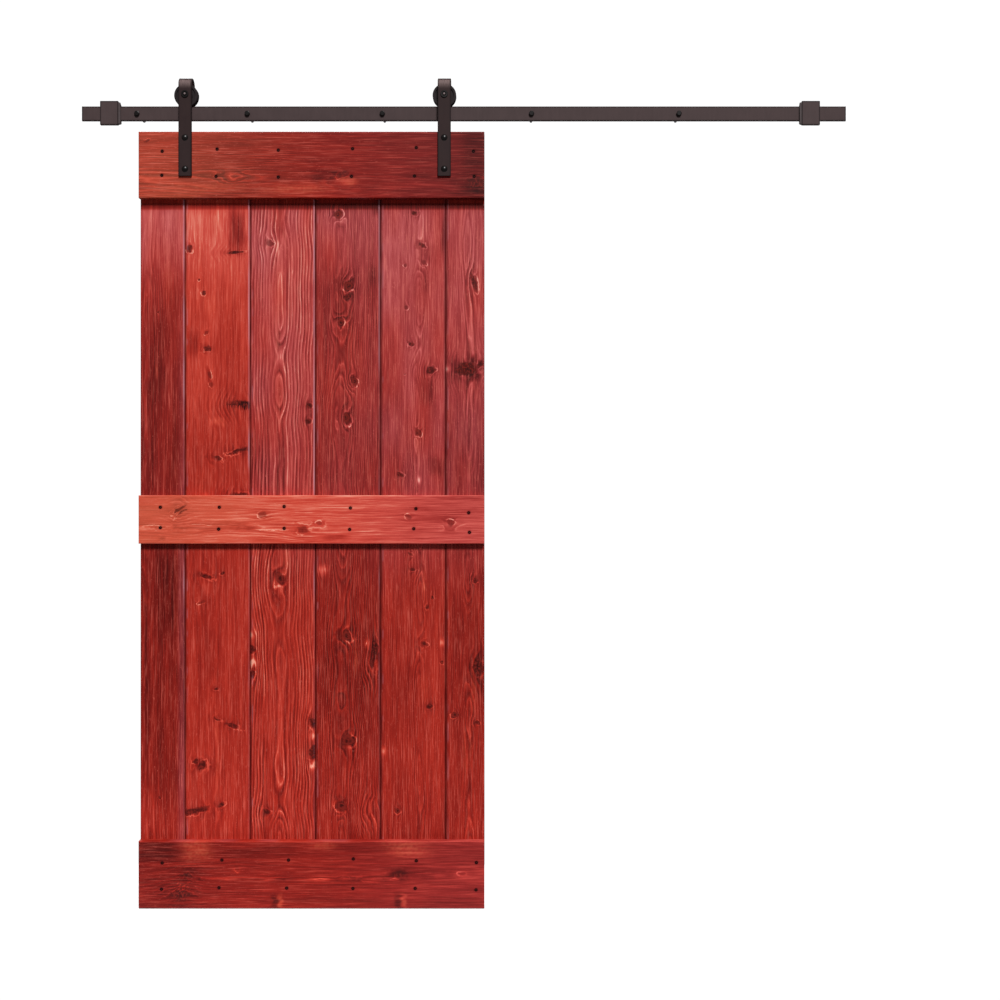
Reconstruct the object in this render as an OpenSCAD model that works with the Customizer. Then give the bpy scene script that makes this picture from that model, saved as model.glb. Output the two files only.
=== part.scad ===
// Sliding barn door: a boarded leaf with three rails, hung by two bent-strap rollers on a flat track.
// Millimetres. The wall's face is the plane y = 0, the room is at -Y, and +Z is up.
// x = 0 and z = 0 lie on the axis of the track's middle lag bolt. The leaf hangs near the left stop.

/* [Leaf] */
// Width of the leaf
door_w = 950; // [760:1:1240]
// Height of the leaf
door_h = 2134; // [1700:1:2600]
// Where the leaf's left edge hangs at rest
door_x = -669; // [-700:1:-600]
// Gap between the track's lower edge and the leaf's top
door_drop = 32.6; // [20:0.2:60]
// Face width of the ripped board at the left edge
edge_board_left = 122; // [90:1:150]
// Face width of the ripped board at the right edge
edge_board_right = 108; // [90:1:150]
// Thickness of the vertical boards
board_t = 19; // [15:0.5:24]
// Thickness of the rails
rail_t = 19; // [15:0.5:24]
// Height of the top rail
top_rail_h = 182; // [150:1:220]
// Height of the middle rail
middle_rail_h = 133; // [105:1:170]
// Height of the bottom rail
bottom_rail_h = 185; // [150:1:230]
// Height of the middle rail's lower edge above the leaf's foot
middle_rail_z = 1002; // [700:1:1300]
// Easing of the rails' edges
rail_ease = 1.6; // [0.5:0.1:3]

/* [Tongue and groove] */
// Length of a board's tongue
tongue_l = 7; // [4:0.5:10]
// Thickness of a board's tongue
tongue_t = 6; // [4:0.5:8]
// Clearance round a tongue in its groove
tongue_gap = 0.3; // [0.1:0.1:0.6]
// Gap between two boards' shoulders
joint_gap = 0.4; // [0.1:0.1:0.8]
// Depth and half width of the V between two faces
v_face = 2.6; // [1:0.1:4]
// Depth and half width of the V at the back
v_back = 1.2; // [0.5:0.1:3]

/* [Wood screws] */
// Diameter of a screw's head
screw_head_d = 8.6; // [7:0.1:10]
// Depth of the head's cone
screw_head_h = 2.9; // [2:0.1:4]
// Diameter of a screw's shank
screw_d = 4.2; // [3:0.1:5]
// Length of a screw
screw_l = 32; // [26:0.5:36]
// Upper and lower screw rows of the top rail, from its own edges
top_rail_rows = [51, 60];
// Upper and lower screw rows of the middle rail, from its own edges
middle_rail_rows = [33, 42];
// Upper and lower screw rows of the bottom rail, from its own edges
bottom_rail_rows = [54, 55];

/* [Track] */
// Length of the track
track_l = 2105; // [1900:1:2540]
// Height of the track bar
track_h = 40; // [36:1:48]
// Thickness of the track bar
track_t = 6; // [5:0.5:8]
// How far the track runs left of the middle lag bolt
track_left = 828; // [790:1:900]
// Length of the spacers that hold the track off the wall
spacer_l = 38; // [34:1:50]
// Outer diameter of a spacer
spacer_d = 16; // [14:1:26]
// Bore of the spacers and holes of the track
lag_hole_d = 9; // [8.6:0.1:10]

/* [Lag bolts] */
// Thread diameter of a lag bolt
lag_d = 8; // [7:0.1:8.4]
// Diameter of the plain shank inside the spacer
lag_shank_d = 7.4; // [6:0.1:8]
// Length of thread that goes into the wall, without the point
lag_thread_l = 24; // [20:1:70]
// Length of the point
lag_point_l = 5; // [4:0.5:10]
// Width across the flats of the head
lag_head_af = 13; // [12:0.5:16]
// Thickness of the head
lag_head_h = 5.5; // [4:0.1:7]

/* [End stops] */
// Length of a stop along the track
stop_w = 50; // [40:0.5:62]
// Height of a stop's front plate
stop_h = 66; // [60:0.5:80]
// Height of the block behind the front plate
stop_block_h = 52; // [50:0.5:60]
// Thickness of the stop's front plate
stop_front_t = 6; // [4:0.5:8]
// Thickness of the stop behind the track
stop_back_t = 9.5; // [8:0.5:10]
// Thickness of the rubber bumper
bumper_t = 5.5; // [3:0.5:10]
// Height of the rubber bumper at its front
bumper_h = 58; // [54:0.5:66]
// Free slot round the track in the clamp
stop_gap = 0.3; // [0.1:0.1:0.6]
// Distance of the left stop's outer face from the track's end
stop_inset_left = 52; // [30:1:60]
// Distance of the right stop's outer face from the track's end
stop_inset_right = 73; // [40:1:90]
// Diameter of a grub screw
grub_d = 8; // [6:0.5:10]

/* [Hangers] */
// Distance of the left hanger from the leaf's left edge
hanger_inset_left = 129; // [110:1:150]
// Distance of the right hanger from the leaf's right edge
hanger_inset_right = 110; // [95:1:140]
// Width of the strap
strap_w = 36; // [30:1:44]
// Thickness of the strap
strap_t = 6; // [4.5:0.5:7]
// Clear gap between the strap's two legs
strap_gap = 27; // [26:0.5:32]
// Free height between the wheel's rim and the inside of the bend
bend_clear = 9.5; // [6:0.5:14]
// How far the rear leg ends below the axle
rear_leg_l = 15; // [13:0.5:15.5]
// Distance of the upper carriage bolt below the leaf's top
bolt_below_top = 18; // [17:0.5:28]
// Pitch of the two carriage bolts
bolt_pitch = 86; // [70:1:105]
// How far the front leg ends below the lower carriage bolt
strap_foot = 18.5; // [16:0.5:30]
// Diameter of a carriage bolt
bolt_d = 8; // [6:0.5:10]
// Diameter of a carriage bolt's dome
bolt_head_d = 18; // [16:0.5:22]
// Height of a carriage bolt's dome
bolt_head_h = 4.8; // [3.5:0.1:6]

/* [Wheels] */
// Outer diameter of a wheel
wheel_d = 65; // [62:0.5:78]
// Diameter of the tread that rolls on the track
tread_d = 57; // [54:0.5:59]
// Width of a wheel
wheel_w = 19; // [17:0.5:22]
// Free gap on each side of the track in the wheel's groove
groove_gap = 0.6; // [0.3:0.1:1]
// Diameter of the axle
axle_d = 10; // [8:0.5:11]
// Outer diameter of the bearing
bearing_d = 30; // [29:0.5:32]
// Width of the bearing
bearing_w = 9; // [8:0.5:10]
// Number of balls
ball_count = 8; // [6:1:9]
// Diameter of a ball
ball_d = 4.8; // [4:0.1:5.2]

/* [Hidden] */
$fn = 64;

// Small clearances
slip = 0.05;        // a shaft, bolt or screw in its own hole
roll_gap = 0.3;     // the tread above the track
ball_gap = 0.1;     // a ball in its races
pocket_gap = 0.15;  // a ball in the cage
past = 1;           // how far a cut runs past the surface it opens

// Where the lag bolts meet the studs, along the track
LAG_X = [-676, -372, 0, 411, 817];

// Hand-driven wood screws, one upper and one lower for each board:
// offset [x, z] from the board's middle and from the row's height
TOP_UPPER = [[4, -3], [4, 3], [-8, 0], [16, 4], [11, 7], [24, -3]];
TOP_LOWER = [[3, 2], [1, -1], [-8, -3], [13, -1], [6, 0], [26, -1]];
MIDDLE_UPPER = [[-1, 0], [10, 0], [8, 2], [10, -2], [10, -4], [11, -15]];
MIDDLE_LOWER = [[-1, 2], [8, -2], [8, 0], [8, -3], [4, -1], [13, -11]];
BOTTOM_UPPER = [[4, -6], [17, 2], [20, 2], [18, 5], [11, 0], [32, -5]];
BOTTOM_LOWER = [[2, -2], [9, 2], [15, 1], [17, 0], [8, 0], [31, -4]];

// Depths, from the wall towards the room
track_front_y = -spacer_l - track_t;
wheel_y = -spacer_l - track_t / 2;
strap_back_y = wheel_y - strap_gap / 2;
strap_front_y = strap_back_y - strap_t;
rear_leg_back_y = wheel_y + strap_gap / 2 + strap_t;
rail_front_y = strap_back_y;
board_front_y = rail_front_y + rail_t;
leaf_back_y = board_front_y + board_t;

// Heights
axle_z = track_h / 2 + roll_gap + tread_d / 2;
door_top_z = -track_h / 2 - door_drop;
door_foot_z = door_top_z - door_h;

// Places along the track
HANGER_X = [door_x + hanger_inset_left, door_x + door_w - hanger_inset_right];
track_right = track_l - track_left;

// The boards: four full ones share what the two ripped edge boards leave
BOARDS = 6;
full_board_w = (door_w - edge_board_left - edge_board_right) / (BOARDS - 2);
function board_w(i) = i == 0 ? edge_board_left : i == BOARDS - 1 ? edge_board_right : full_board_w;
function board_x(i) = i == 0 ? door_x : board_x(i - 1) + board_w(i - 1);
function board_mid(i) = board_x(i) + board_w(i) / 2;
edge_ease = 1.2;
groove_l = tongue_l + tongue_gap;
tongue_y = (board_t - tongue_t) / 2;

// The rails: lower edge, height, screw rows and the scatter of their screws
RAIL_Z = [door_top_z - top_rail_h, door_foot_z + middle_rail_z, door_foot_z];
RAIL_H = [top_rail_h, middle_rail_h, bottom_rail_h];
RAIL_ROWS = [top_rail_rows, middle_rail_rows, bottom_rail_rows];
RAIL_SCATTER = [[TOP_UPPER, TOP_LOWER], [MIDDLE_UPPER, MIDDLE_LOWER], [BOTTOM_UPPER, BOTTOM_LOWER]];

// Places [x, z] of the screws of one rail: the upper row, then the lower one
function rail_screws(r) = [
  for (row = [0, 1]) for (i = [0 : BOARDS - 1])
    [
      board_mid(i) + RAIL_SCATTER[r][row][i][0],
      (row == 0 ? RAIL_Z[r] + RAIL_H[r] - RAIL_ROWS[r][0] : RAIL_Z[r] + RAIL_ROWS[r][1])
        + RAIL_SCATTER[r][row][i][1]
    ]
];

// Places [x, z] of one hanger's carriage bolts
function hanger_bolts(side) = [
  for (k = [0, 1]) [HANGER_X[side], door_top_z - bolt_below_top - k * bolt_pitch]
];

// Carriage bolts
bolt_neck = bolt_d;
washer_d = 20;
washer_t = 1.6;
bolt_nut_af = 13;
bolt_nut_h = 6.5;
bolt_end = 2;

// Wood screws
screw_point_l = 6;
recess_l = 4.6;
recess_w = 1.1;
recess_depth = 1.9;

// Axle hardware
axle_head_d = 20;
axle_head_t = 2.6;
axle_head_ease = 0.8;
axle_floor_t = 1.2;
axle_ring_w = 1.4;
axle_dome_d = 9.5;
axle_dome_h = 3.2;
axle_nut_af = 17;
axle_nut_h = 6;
axle_end = 2.2;
bush_wall = 2.6;
bush_l = (strap_gap - bearing_w) / 2;

// Bearing and wheel
axle_r = axle_d / 2;
bearing_r = bearing_d / 2;
bearing_bore_r = axle_r + slip;
race_r = (bearing_r + bearing_bore_r) / 2;
ball_r = ball_d / 2;
land_h = 1.7;
cage_t = 1.5;
cage_w = ball_d + 1.8;
circlip_t = 1.1;
circlip_bite = 0.8;
circlip_w = 2.2;
circlip_mouth = 8;
groove_half = track_t / 2 + groove_gap;
groove_flare = 1.2;
flange_ease = 1.2;
hub_r = bearing_r + 3.5;
rim_r = tread_d / 2 - 2.5;
web_recess = 3;
lip = 2;

STEEL = "#4d3f3f";
DARK_STEEL = "#2c2727";
BRIGHT = "silver";
RED = "#a23a2e";
RED_MIDDLE = "#c95c47";
RUBBER = "#1d1c1c";

// Turns a shape that stands along +Z to lie along +Y, from the point at
module along_y(at) {
  translate(at)
    rotate([-90, 0, 0])
      children();
}

// A round bore along Y between two depths
module bore_y(x, z, r, from_y, to_y) {
  along_y([x, from_y, z])
    cylinder(r = r, h = to_y - from_y);
}

// A flat outline in the plane of Y and Z, drawn out along +X
module bar_x(length) {
  rotate([90, 0, 90])
    linear_extrude(height = length)
      children();
}

// A rectangle with its four corners cut off
module eased_rect(w, h, ease) {
  polygon([
    [ease, 0], [w - ease, 0], [w, ease], [w, h - ease],
    [w - ease, h], [ease, h], [0, h - ease], [0, ease]
  ]);
}

// A hexagonal prism with one end chamfered
module hex_blank(af, h) {
  corner_r = af / sqrt(3);
  chamfer = af * 0.09;
  intersection() {
    cylinder(r = corner_r, h = h, $fn = 6);
    union() {
      cylinder(r = corner_r + past, h = h - chamfer);
      translate([0, 0, h - chamfer])
        cylinder(r1 = corner_r, r2 = corner_r - 2 * chamfer, h = chamfer);
    }
  }
}

// Flat bar of the track, drilled for the lag bolts
module track_bar() {
  color(STEEL)
    difference() {
      translate([-track_left, track_front_y, -track_h / 2])
        bar_x(track_l)
          eased_rect(track_t, track_h, 0.6);
      for (x = LAG_X)
        bore_y(x, 0, lag_hole_d / 2, track_front_y - past, past - spacer_l);
    }
}

// Tube between the track and the wall
module spacer(i) {
  color(DARK_STEEL)
    difference() {
      bore_y(LAG_X[i], 0, spacer_d / 2, -spacer_l, 0);
      bore_y(LAG_X[i], 0, lag_hole_d / 2, -spacer_l - past, past);
    }
}

// Hex-headed lag bolt through the track and a spacer into the wall; its thread is a plain cylinder
module lag_bolt(i) {
  grip = -track_front_y;
  color(DARK_STEEL)
    union() {
      translate([LAG_X[i], track_front_y, 0])
        rotate([90, 0, 0])
          hex_blank(lag_head_af, lag_head_h);
      along_y([LAG_X[i], track_front_y, 0])
        rotate_extrude()
          polygon([
            [0, 0], [lag_shank_d / 2, 0], [lag_shank_d / 2, grip], [lag_d / 2, grip],
            [lag_d / 2, grip + lag_thread_l], [0, grip + lag_thread_l + lag_point_l]
          ]);
    }
}

// Depths of a stop's slot and faces
slot_front_y = track_front_y - stop_gap;
slot_back_y = -spacer_l + stop_gap;
stop_front_y = slot_front_y - stop_front_t;
stop_back_y = slot_back_y + stop_back_t;
// Left end of each stop's plate and of each bumper
STOP_X = [-track_left + stop_inset_left, track_right - stop_inset_right - stop_w];
BUMPER_X = [STOP_X[0] + stop_w, STOP_X[1] - bumper_t];
bumper_front_y = stop_front_y + 1;
bumper_back_y = stop_back_y - 1;
bumper_narrowing = bumper_t / 2;
grub_rise = track_h / 4;

// Slot that lets a stop slide along the track
module track_slot(x, length) {
  translate([x - past, slot_front_y, -track_h / 2 - stop_gap])
    cube([length + 2 * past, slot_back_y - slot_front_y, track_h + 2 * stop_gap]);
}

// Upright slab of a stop between two depths
module stop_slab(side, h, from_y, to_y) {
  translate([STOP_X[side], to_y, -h / 2])
    rotate([90, 0, 0])
      linear_extrude(height = to_y - from_y)
        eased_rect(stop_w, h, 1);
}

// Steel plate and block round the track, clamped by grub screws from behind
module stop_clamp(side) {
  color(STEEL)
    difference() {
      union() {
        stop_slab(side, stop_h, stop_front_y, slot_front_y);
        stop_slab(side, stop_block_h, slot_front_y - stop_front_t / 2, stop_back_y);
      }
      track_slot(STOP_X[side], stop_w);
      for (z = [-grub_rise, grub_rise])
        bore_y(STOP_X[side] + stop_w / 2, z, grub_d / 2 + slip, slot_back_y - past, stop_back_y + past);
    }
}

// Rubber pad on the side of a stop that faces the rollers; it gets thinner and lower towards the wall
module stop_bumper(side) {
  ease = 1;
  root_x = side == 0 ? BUMPER_X[0] : BUMPER_X[1] + bumper_t;
  out = side == 0 ? 1 : -1;
  color(RUBBER)
    difference() {
      intersection() {
        translate([root_x, 0, -bumper_h / 2])
          linear_extrude(height = bumper_h)
            polygon([
              [0, bumper_front_y], [out * (bumper_t - ease), bumper_front_y],
              [out * bumper_t, bumper_front_y + ease],
              [out * (bumper_t - bumper_narrowing), bumper_back_y], [0, bumper_back_y]
            ]);
        translate([BUMPER_X[side] - past, 0, 0])
          bar_x(bumper_t + 2 * past)
            polygon([
              [bumper_front_y, -bumper_h / 2], [bumper_back_y, 1 - stop_block_h / 2],
              [bumper_back_y, stop_block_h / 2 - 1], [bumper_front_y, bumper_h / 2]
            ]);
      }
      track_slot(BUMPER_X[side], bumper_t);
    }
}

// Two socket grub screws that bear on the back of the track
module grub_screws(side) {
  socket_af = grub_d / 2;
  grub_l = stop_back_y + spacer_l;
  color(DARK_STEEL)
    for (z = [-grub_rise, grub_rise])
      along_y([STOP_X[side] + stop_w / 2, -spacer_l, z])
        difference() {
          cylinder(d = grub_d, h = grub_l);
          translate([0, 0, grub_l - grub_d * 0.6])
            cylinder(r = socket_af / sqrt(3), h = grub_d, $fn = 6);
        }
}

// Outline of a board seen from above: x across its face, y from its face to its back
module board_outline(i) {
  left = i == 0 ? 0 : joint_gap / 2;
  right = i == BOARDS - 1 ? board_w(i) : board_w(i) - joint_gap / 2;
  ease_l = i == 0 ? edge_ease : v_face;
  ease_r = i == BOARDS - 1 ? edge_ease : v_face;
  groove = i == 0 ? [] : [
    [left, tongue_y + tongue_t + tongue_gap], [left + groove_l, tongue_y + tongue_t + tongue_gap],
    [left + groove_l, tongue_y - tongue_gap], [left, tongue_y - tongue_gap]
  ];
  tongue = i == BOARDS - 1 ? [] : [
    [right, tongue_y], [right + tongue_l, tongue_y],
    [right + tongue_l, tongue_y + tongue_t], [right, tongue_y + tongue_t]
  ];
  polygon(concat(
    [[left + ease_l, 0], [right - ease_r, 0], [right, ease_r]],
    tongue,
    [[right, board_t - v_back], [right - v_back, board_t], [left + v_back, board_t], [left, board_t - v_back]],
    groove,
    [[left, ease_l]]
  ));
}

// Vertical board with its screw pilots and bolt holes
module board(i) {
  color(RED)
    difference() {
      translate([board_x(i), board_front_y, door_foot_z])
        linear_extrude(height = door_h)
          board_outline(i);
      for (r = [0 : 2])
        for (k = [i, i + BOARDS])
          bore_y(
            rail_screws(r)[k][0], rail_screws(r)[k][1], screw_d / 2 + slip,
            board_front_y - past, rail_front_y + screw_l + slip
          );
      for (side = [0, 1])
        for (p = hanger_bolts(side))
          if (abs(p[0] - board_mid(i)) < board_w(i) / 2 + tongue_l + bolt_d)
            bore_y(p[0], p[1], bolt_d / 2 + slip, board_front_y - past, leaf_back_y + past);
    }
}

// Horizontal rail on the face of the boards, countersunk for its screws
module rail(r) {
  color(r == 1 ? RED_MIDDLE : RED)
    difference() {
      translate([door_x, rail_front_y, RAIL_Z[r]])
        bar_x(door_w)
          polygon([
            [rail_ease, 0], [rail_t, 0], [rail_t, RAIL_H[r]], [rail_ease, RAIL_H[r]],
            [0, RAIL_H[r] - rail_ease], [0, rail_ease]
          ]);
      for (p = rail_screws(r)) {
        bore_y(p[0], p[1], screw_d / 2 + slip, rail_front_y - past, board_front_y + past);
        along_y([p[0], rail_front_y, p[1]])
          cylinder(r1 = screw_head_d / 2 + slip, r2 = screw_d / 2 + slip, h = screw_head_h);
      }
      if (r == 0)
        for (side = [0, 1])
          for (p = hanger_bolts(side))
            bore_y(p[0], p[1], bolt_d / 2 + slip, rail_front_y - past, board_front_y + past);
    }
}

// Countersunk wood screw with a cross recess, head at the bottom and point upwards
module wood_screw() {
  head_r = screw_head_d / 2;
  shank_r = screw_d / 2;
  difference() {
    rotate_extrude()
      polygon([
        [0, 0], [head_r, 0], [shank_r, screw_head_h], [shank_r, screw_l - screw_point_l], [0, screw_l]
      ]);
    for (turn = [45, 135])
      rotate([0, 0, turn])
        translate([-recess_l / 2, -recess_w / 2, -past])
          cube([recess_l, recess_w, recess_depth + past]);
  }
}

// All the wood screws of one rail
module rail_screw_set(r) {
  color(DARK_STEEL)
    for (p = rail_screws(r))
      along_y([p[0], rail_front_y, p[1]])
        wood_screw();
}

// Flat strap bent over the wheel: a long leg in front and a short one behind
module hanger_strap(side) {
  ease = 0.8;
  bend_z = axle_z + wheel_d / 2 + bend_clear - strap_gap / 2;
  front_foot_z = door_top_z - bolt_below_top - bolt_pitch - strap_foot;
  color(STEEL)
    difference() {
      translate([HANGER_X[side], 0, 0])
        union() {
          translate([-strap_w / 2, strap_front_y, front_foot_z])
            linear_extrude(height = bend_z - front_foot_z)
              eased_rect(strap_w, strap_t, ease);
          translate([-strap_w / 2, rear_leg_back_y - strap_t, axle_z - rear_leg_l])
            linear_extrude(height = bend_z - axle_z + rear_leg_l)
              eased_rect(strap_w, strap_t, ease);
          translate([0, wheel_y, bend_z])
            rotate([90, 0, 90])
              rotate_extrude(angle = 180)
                translate([strap_gap / 2, -strap_w / 2])
                  eased_rect(strap_t, strap_w, ease);
        }
      bore_y(HANGER_X[side], axle_z, axle_r + slip, strap_front_y - past, rear_leg_back_y + past);
      for (p = hanger_bolts(side))
        translate([p[0] - bolt_neck / 2 - slip, strap_front_y - past, p[1] - bolt_neck / 2 - slip])
          cube([bolt_neck + 2 * slip, strap_t + 2 * past, bolt_neck + 2 * slip]);
    }
}

// Cap of a sphere with a given base and height, standing on z = 0
module dome(d, h) {
  sphere_r = (d * d / 4 + h * h) / (2 * h);
  intersection() {
    translate([0, 0, h - sphere_r])
      sphere(r = sphere_r);
    cylinder(d = d + past, h = h + past);
  }
}

// Carriage bolts through strap, rail and board: dome, square neck and plain shank
module carriage_bolts(side) {
  shank_l = leaf_back_y - strap_front_y + washer_t + bolt_nut_h + bolt_end;
  color(DARK_STEEL)
    for (p = hanger_bolts(side))
      translate([p[0], strap_front_y, p[1]])
        union() {
          rotate([90, 0, 0])
            dome(bolt_head_d, bolt_head_h);
          translate([-bolt_neck / 2, 0, -bolt_neck / 2])
            cube([bolt_neck, strap_t, bolt_neck]);
          along_y([0, 0, 0])
            cylinder(d = bolt_d, h = shank_l);
        }
}

// Washers behind the boards
module bolt_washers(side) {
  color(DARK_STEEL)
    for (p = hanger_bolts(side))
      difference() {
        bore_y(p[0], p[1], washer_d / 2, leaf_back_y, leaf_back_y + washer_t);
        bore_y(p[0], p[1], bolt_d / 2 + slip, leaf_back_y - past, leaf_back_y + washer_t + past);
      }
}

// Hexagon nuts on the carriage bolts
module bolt_nuts(side) {
  color(DARK_STEEL)
    for (p = hanger_bolts(side))
      along_y([p[0], leaf_back_y + washer_t, p[1]])
        difference() {
          hex_blank(bolt_nut_af, bolt_nut_h);
          translate([0, 0, -past])
            cylinder(d = bolt_d + 2 * slip, h = bolt_nut_h + 2 * past);
        }
}

// Axle bolt: ringed head round a domed centre, shank through both legs
module axle_bolt(side) {
  shank_l = rear_leg_back_y - strap_front_y + axle_nut_h + axle_end;
  color(DARK_STEEL)
    translate([HANGER_X[side], strap_front_y, axle_z])
      union() {
        rotate([90, 0, 0])
          rotate_extrude()
            polygon([
              [0, 0], [axle_head_d / 2, 0], [axle_head_d / 2, axle_head_t - axle_head_ease],
              [axle_head_d / 2 - axle_head_ease, axle_head_t], [axle_dome_d / 2 + axle_ring_w, axle_head_t],
              [axle_dome_d / 2 + axle_ring_w, axle_floor_t], [0, axle_floor_t]
            ]);
        translate([0, -axle_floor_t, 0])
          rotate([90, 0, 0])
            dome(axle_dome_d, axle_dome_h);
        along_y([0, 0, 0])
          cylinder(d = axle_d, h = shank_l);
      }
}

// Thin nut on the axle bolt, behind the rear leg
module axle_nut(side) {
  color(DARK_STEEL)
    along_y([HANGER_X[side], rear_leg_back_y, axle_z])
      difference() {
        hex_blank(axle_nut_af, axle_nut_h);
        translate([0, 0, -past])
          cylinder(r = axle_r + slip, h = axle_nut_h + 2 * past);
      }
}

// Sleeve that holds the bearing's inner ring off one leg of the strap
module axle_bush(side, rear) {
  from_y = rear ? wheel_y + bearing_w / 2 : strap_back_y;
  color(BRIGHT)
    difference() {
      bore_y(HANGER_X[side], axle_z, axle_r + bush_wall, from_y, from_y + bush_l);
      bore_y(HANGER_X[side], axle_z, axle_r + slip, from_y - past, from_y + bush_l + past);
    }
}

// Places children at a wheel's centre with their axis along Y
module at_wheel(side) {
  along_y([HANGER_X[side], wheel_y, axle_z])
    children();
}

// Ring of a ball bearing between two radii, with the balls' groove
module race_ring(inner_r, outer_r) {
  difference() {
    rotate_extrude()
      translate([inner_r, -bearing_w / 2])
        square([outer_r - inner_r, bearing_w]);
    rotate_extrude()
      translate([race_r, 0])
        circle(r = ball_r + ball_gap);
  }
}

// Inner ring, still on the axle
module bearing_inner(side) {
  color(BRIGHT)
    at_wheel(side)
      race_ring(bearing_bore_r, race_r - land_h);
}

// Outer ring, pressed into the wheel
module bearing_outer(side) {
  color(BRIGHT)
    at_wheel(side)
      race_ring(race_r + land_h, bearing_r);
}

// The balls
module bearing_balls(side) {
  color(BRIGHT)
    at_wheel(side)
      for (k = [0 : ball_count - 1])
        rotate([0, 0, k * 360 / ball_count])
          translate([race_r, 0, 0])
            sphere(r = ball_r);
}

// Cage with a pocket for each ball
module bearing_cage(side) {
  color("goldenrod")
    at_wheel(side)
      difference() {
        rotate_extrude()
          translate([race_r - cage_t / 2, -cage_w / 2])
            square([cage_t, cage_w]);
        for (k = [0 : ball_count - 1])
          rotate([0, 0, k * 360 / ball_count])
            rotate([0, 90, 0])
              cylinder(r = ball_r + pocket_gap, h = bearing_r);
      }
}

// Circlip in the wheel's bore, open at the top
module circlip(side) {
  color(BRIGHT)
    at_wheel(side)
      translate([0, 0, -bearing_w / 2 - circlip_t - slip])
        difference() {
          cylinder(r = bearing_r + circlip_bite - slip, h = circlip_t);
          translate([0, 0, -past])
            cylinder(r = bearing_r + circlip_bite - circlip_w, h = circlip_t + 2 * past);
          translate([-circlip_mouth / 2, -bearing_d, -past])
            cube([circlip_mouth, bearing_d, circlip_t + 2 * past]);
        }
}

// Grooved wheel: half outline of one side, from the bore to the groove; z runs along the axle
module wheel(side) {
  half_w = wheel_w / 2;
  wheel_r = wheel_d / 2;
  bore_r = bearing_r + slip;
  clip_y = -bearing_w / 2 - circlip_t - 2 * slip;
  color(DARK_STEEL)
    at_wheel(side)
      difference() {
        rotate_extrude()
          polygon([
            [bore_r, -half_w], [hub_r, -half_w], [hub_r, web_recess - half_w],
            [rim_r, web_recess - half_w], [rim_r, -half_w], [wheel_r - flange_ease, -half_w],
            [wheel_r, flange_ease - half_w], [wheel_r, -groove_half - groove_flare],
            [tread_d / 2, -groove_half], [tread_d / 2, groove_half],
            [wheel_r, groove_half + groove_flare], [wheel_r, half_w - flange_ease],
            [wheel_r - flange_ease, half_w], [rim_r, half_w], [rim_r, half_w - web_recess],
            [hub_r, half_w - web_recess], [hub_r, half_w], [bearing_r - lip, half_w],
            [bearing_r - lip, bearing_w / 2], [bore_r, bearing_w / 2]
          ]);
        translate([0, 0, clip_y])
          cylinder(r = bearing_r + circlip_bite, h = circlip_t + 2 * slip);
      }
}

track_bar();
spacer(0);  // spacer_1
spacer(1);  // spacer_2
spacer(2);  // spacer_3
spacer(3);  // spacer_4
spacer(4);  // spacer_5
lag_bolt(0);  // lag_bolt_1
lag_bolt(1);  // lag_bolt_2
lag_bolt(2);  // lag_bolt_3
lag_bolt(3);  // lag_bolt_4
lag_bolt(4);  // lag_bolt_5
stop_clamp(0);  // stop_left_clamp
stop_bumper(0);  // stop_left_bumper
grub_screws(0);  // stop_left_grub_screws
stop_clamp(1);  // stop_right_clamp
stop_bumper(1);  // stop_right_bumper
grub_screws(1);  // stop_right_grub_screws
board(0);  // board_1
board(1);  // board_2
board(2);  // board_3
board(3);  // board_4
board(4);  // board_5
board(5);  // board_6
rail(0);  // top_rail
rail(1);  // middle_rail
rail(2);  // bottom_rail
rail_screw_set(0);  // top_rail_screws
rail_screw_set(1);  // middle_rail_screws
rail_screw_set(2);  // bottom_rail_screws
hanger_strap(0);  // hanger_strap_left
hanger_strap(1);  // hanger_strap_right
carriage_bolts(0);  // carriage_bolts_left
carriage_bolts(1);  // carriage_bolts_right
bolt_washers(0);  // bolt_washers_left
bolt_washers(1);  // bolt_washers_right
bolt_nuts(0);  // bolt_nuts_left
bolt_nuts(1);  // bolt_nuts_right
axle_bolt(0);  // axle_bolt_left
axle_bolt(1);  // axle_bolt_right
axle_nut(0);  // axle_nut_left
axle_nut(1);  // axle_nut_right
axle_bush(0, false);  // axle_bush_front_left
axle_bush(1, false);  // axle_bush_front_right
axle_bush(0, true);  // axle_bush_rear_left
axle_bush(1, true);  // axle_bush_rear_right
bearing_inner(0);  // bearing_inner_left
bearing_inner(1);  // bearing_inner_right
bearing_outer(0);  // bearing_outer_left
bearing_outer(1);  // bearing_outer_right
bearing_balls(0);  // bearing_balls_left
bearing_balls(1);  // bearing_balls_right
bearing_cage(0);  // bearing_cage_left
bearing_cage(1);  // bearing_cage_right
circlip(0);  // circlip_left
circlip(1);  // circlip_right
wheel(0);  // wheel_left
wheel(1);  // wheel_right
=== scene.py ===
"""Looks of the sliding barn door: red-stained brushed pine boards and rails on dark bronze track hardware."""

import math
from types import SimpleNamespace

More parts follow.
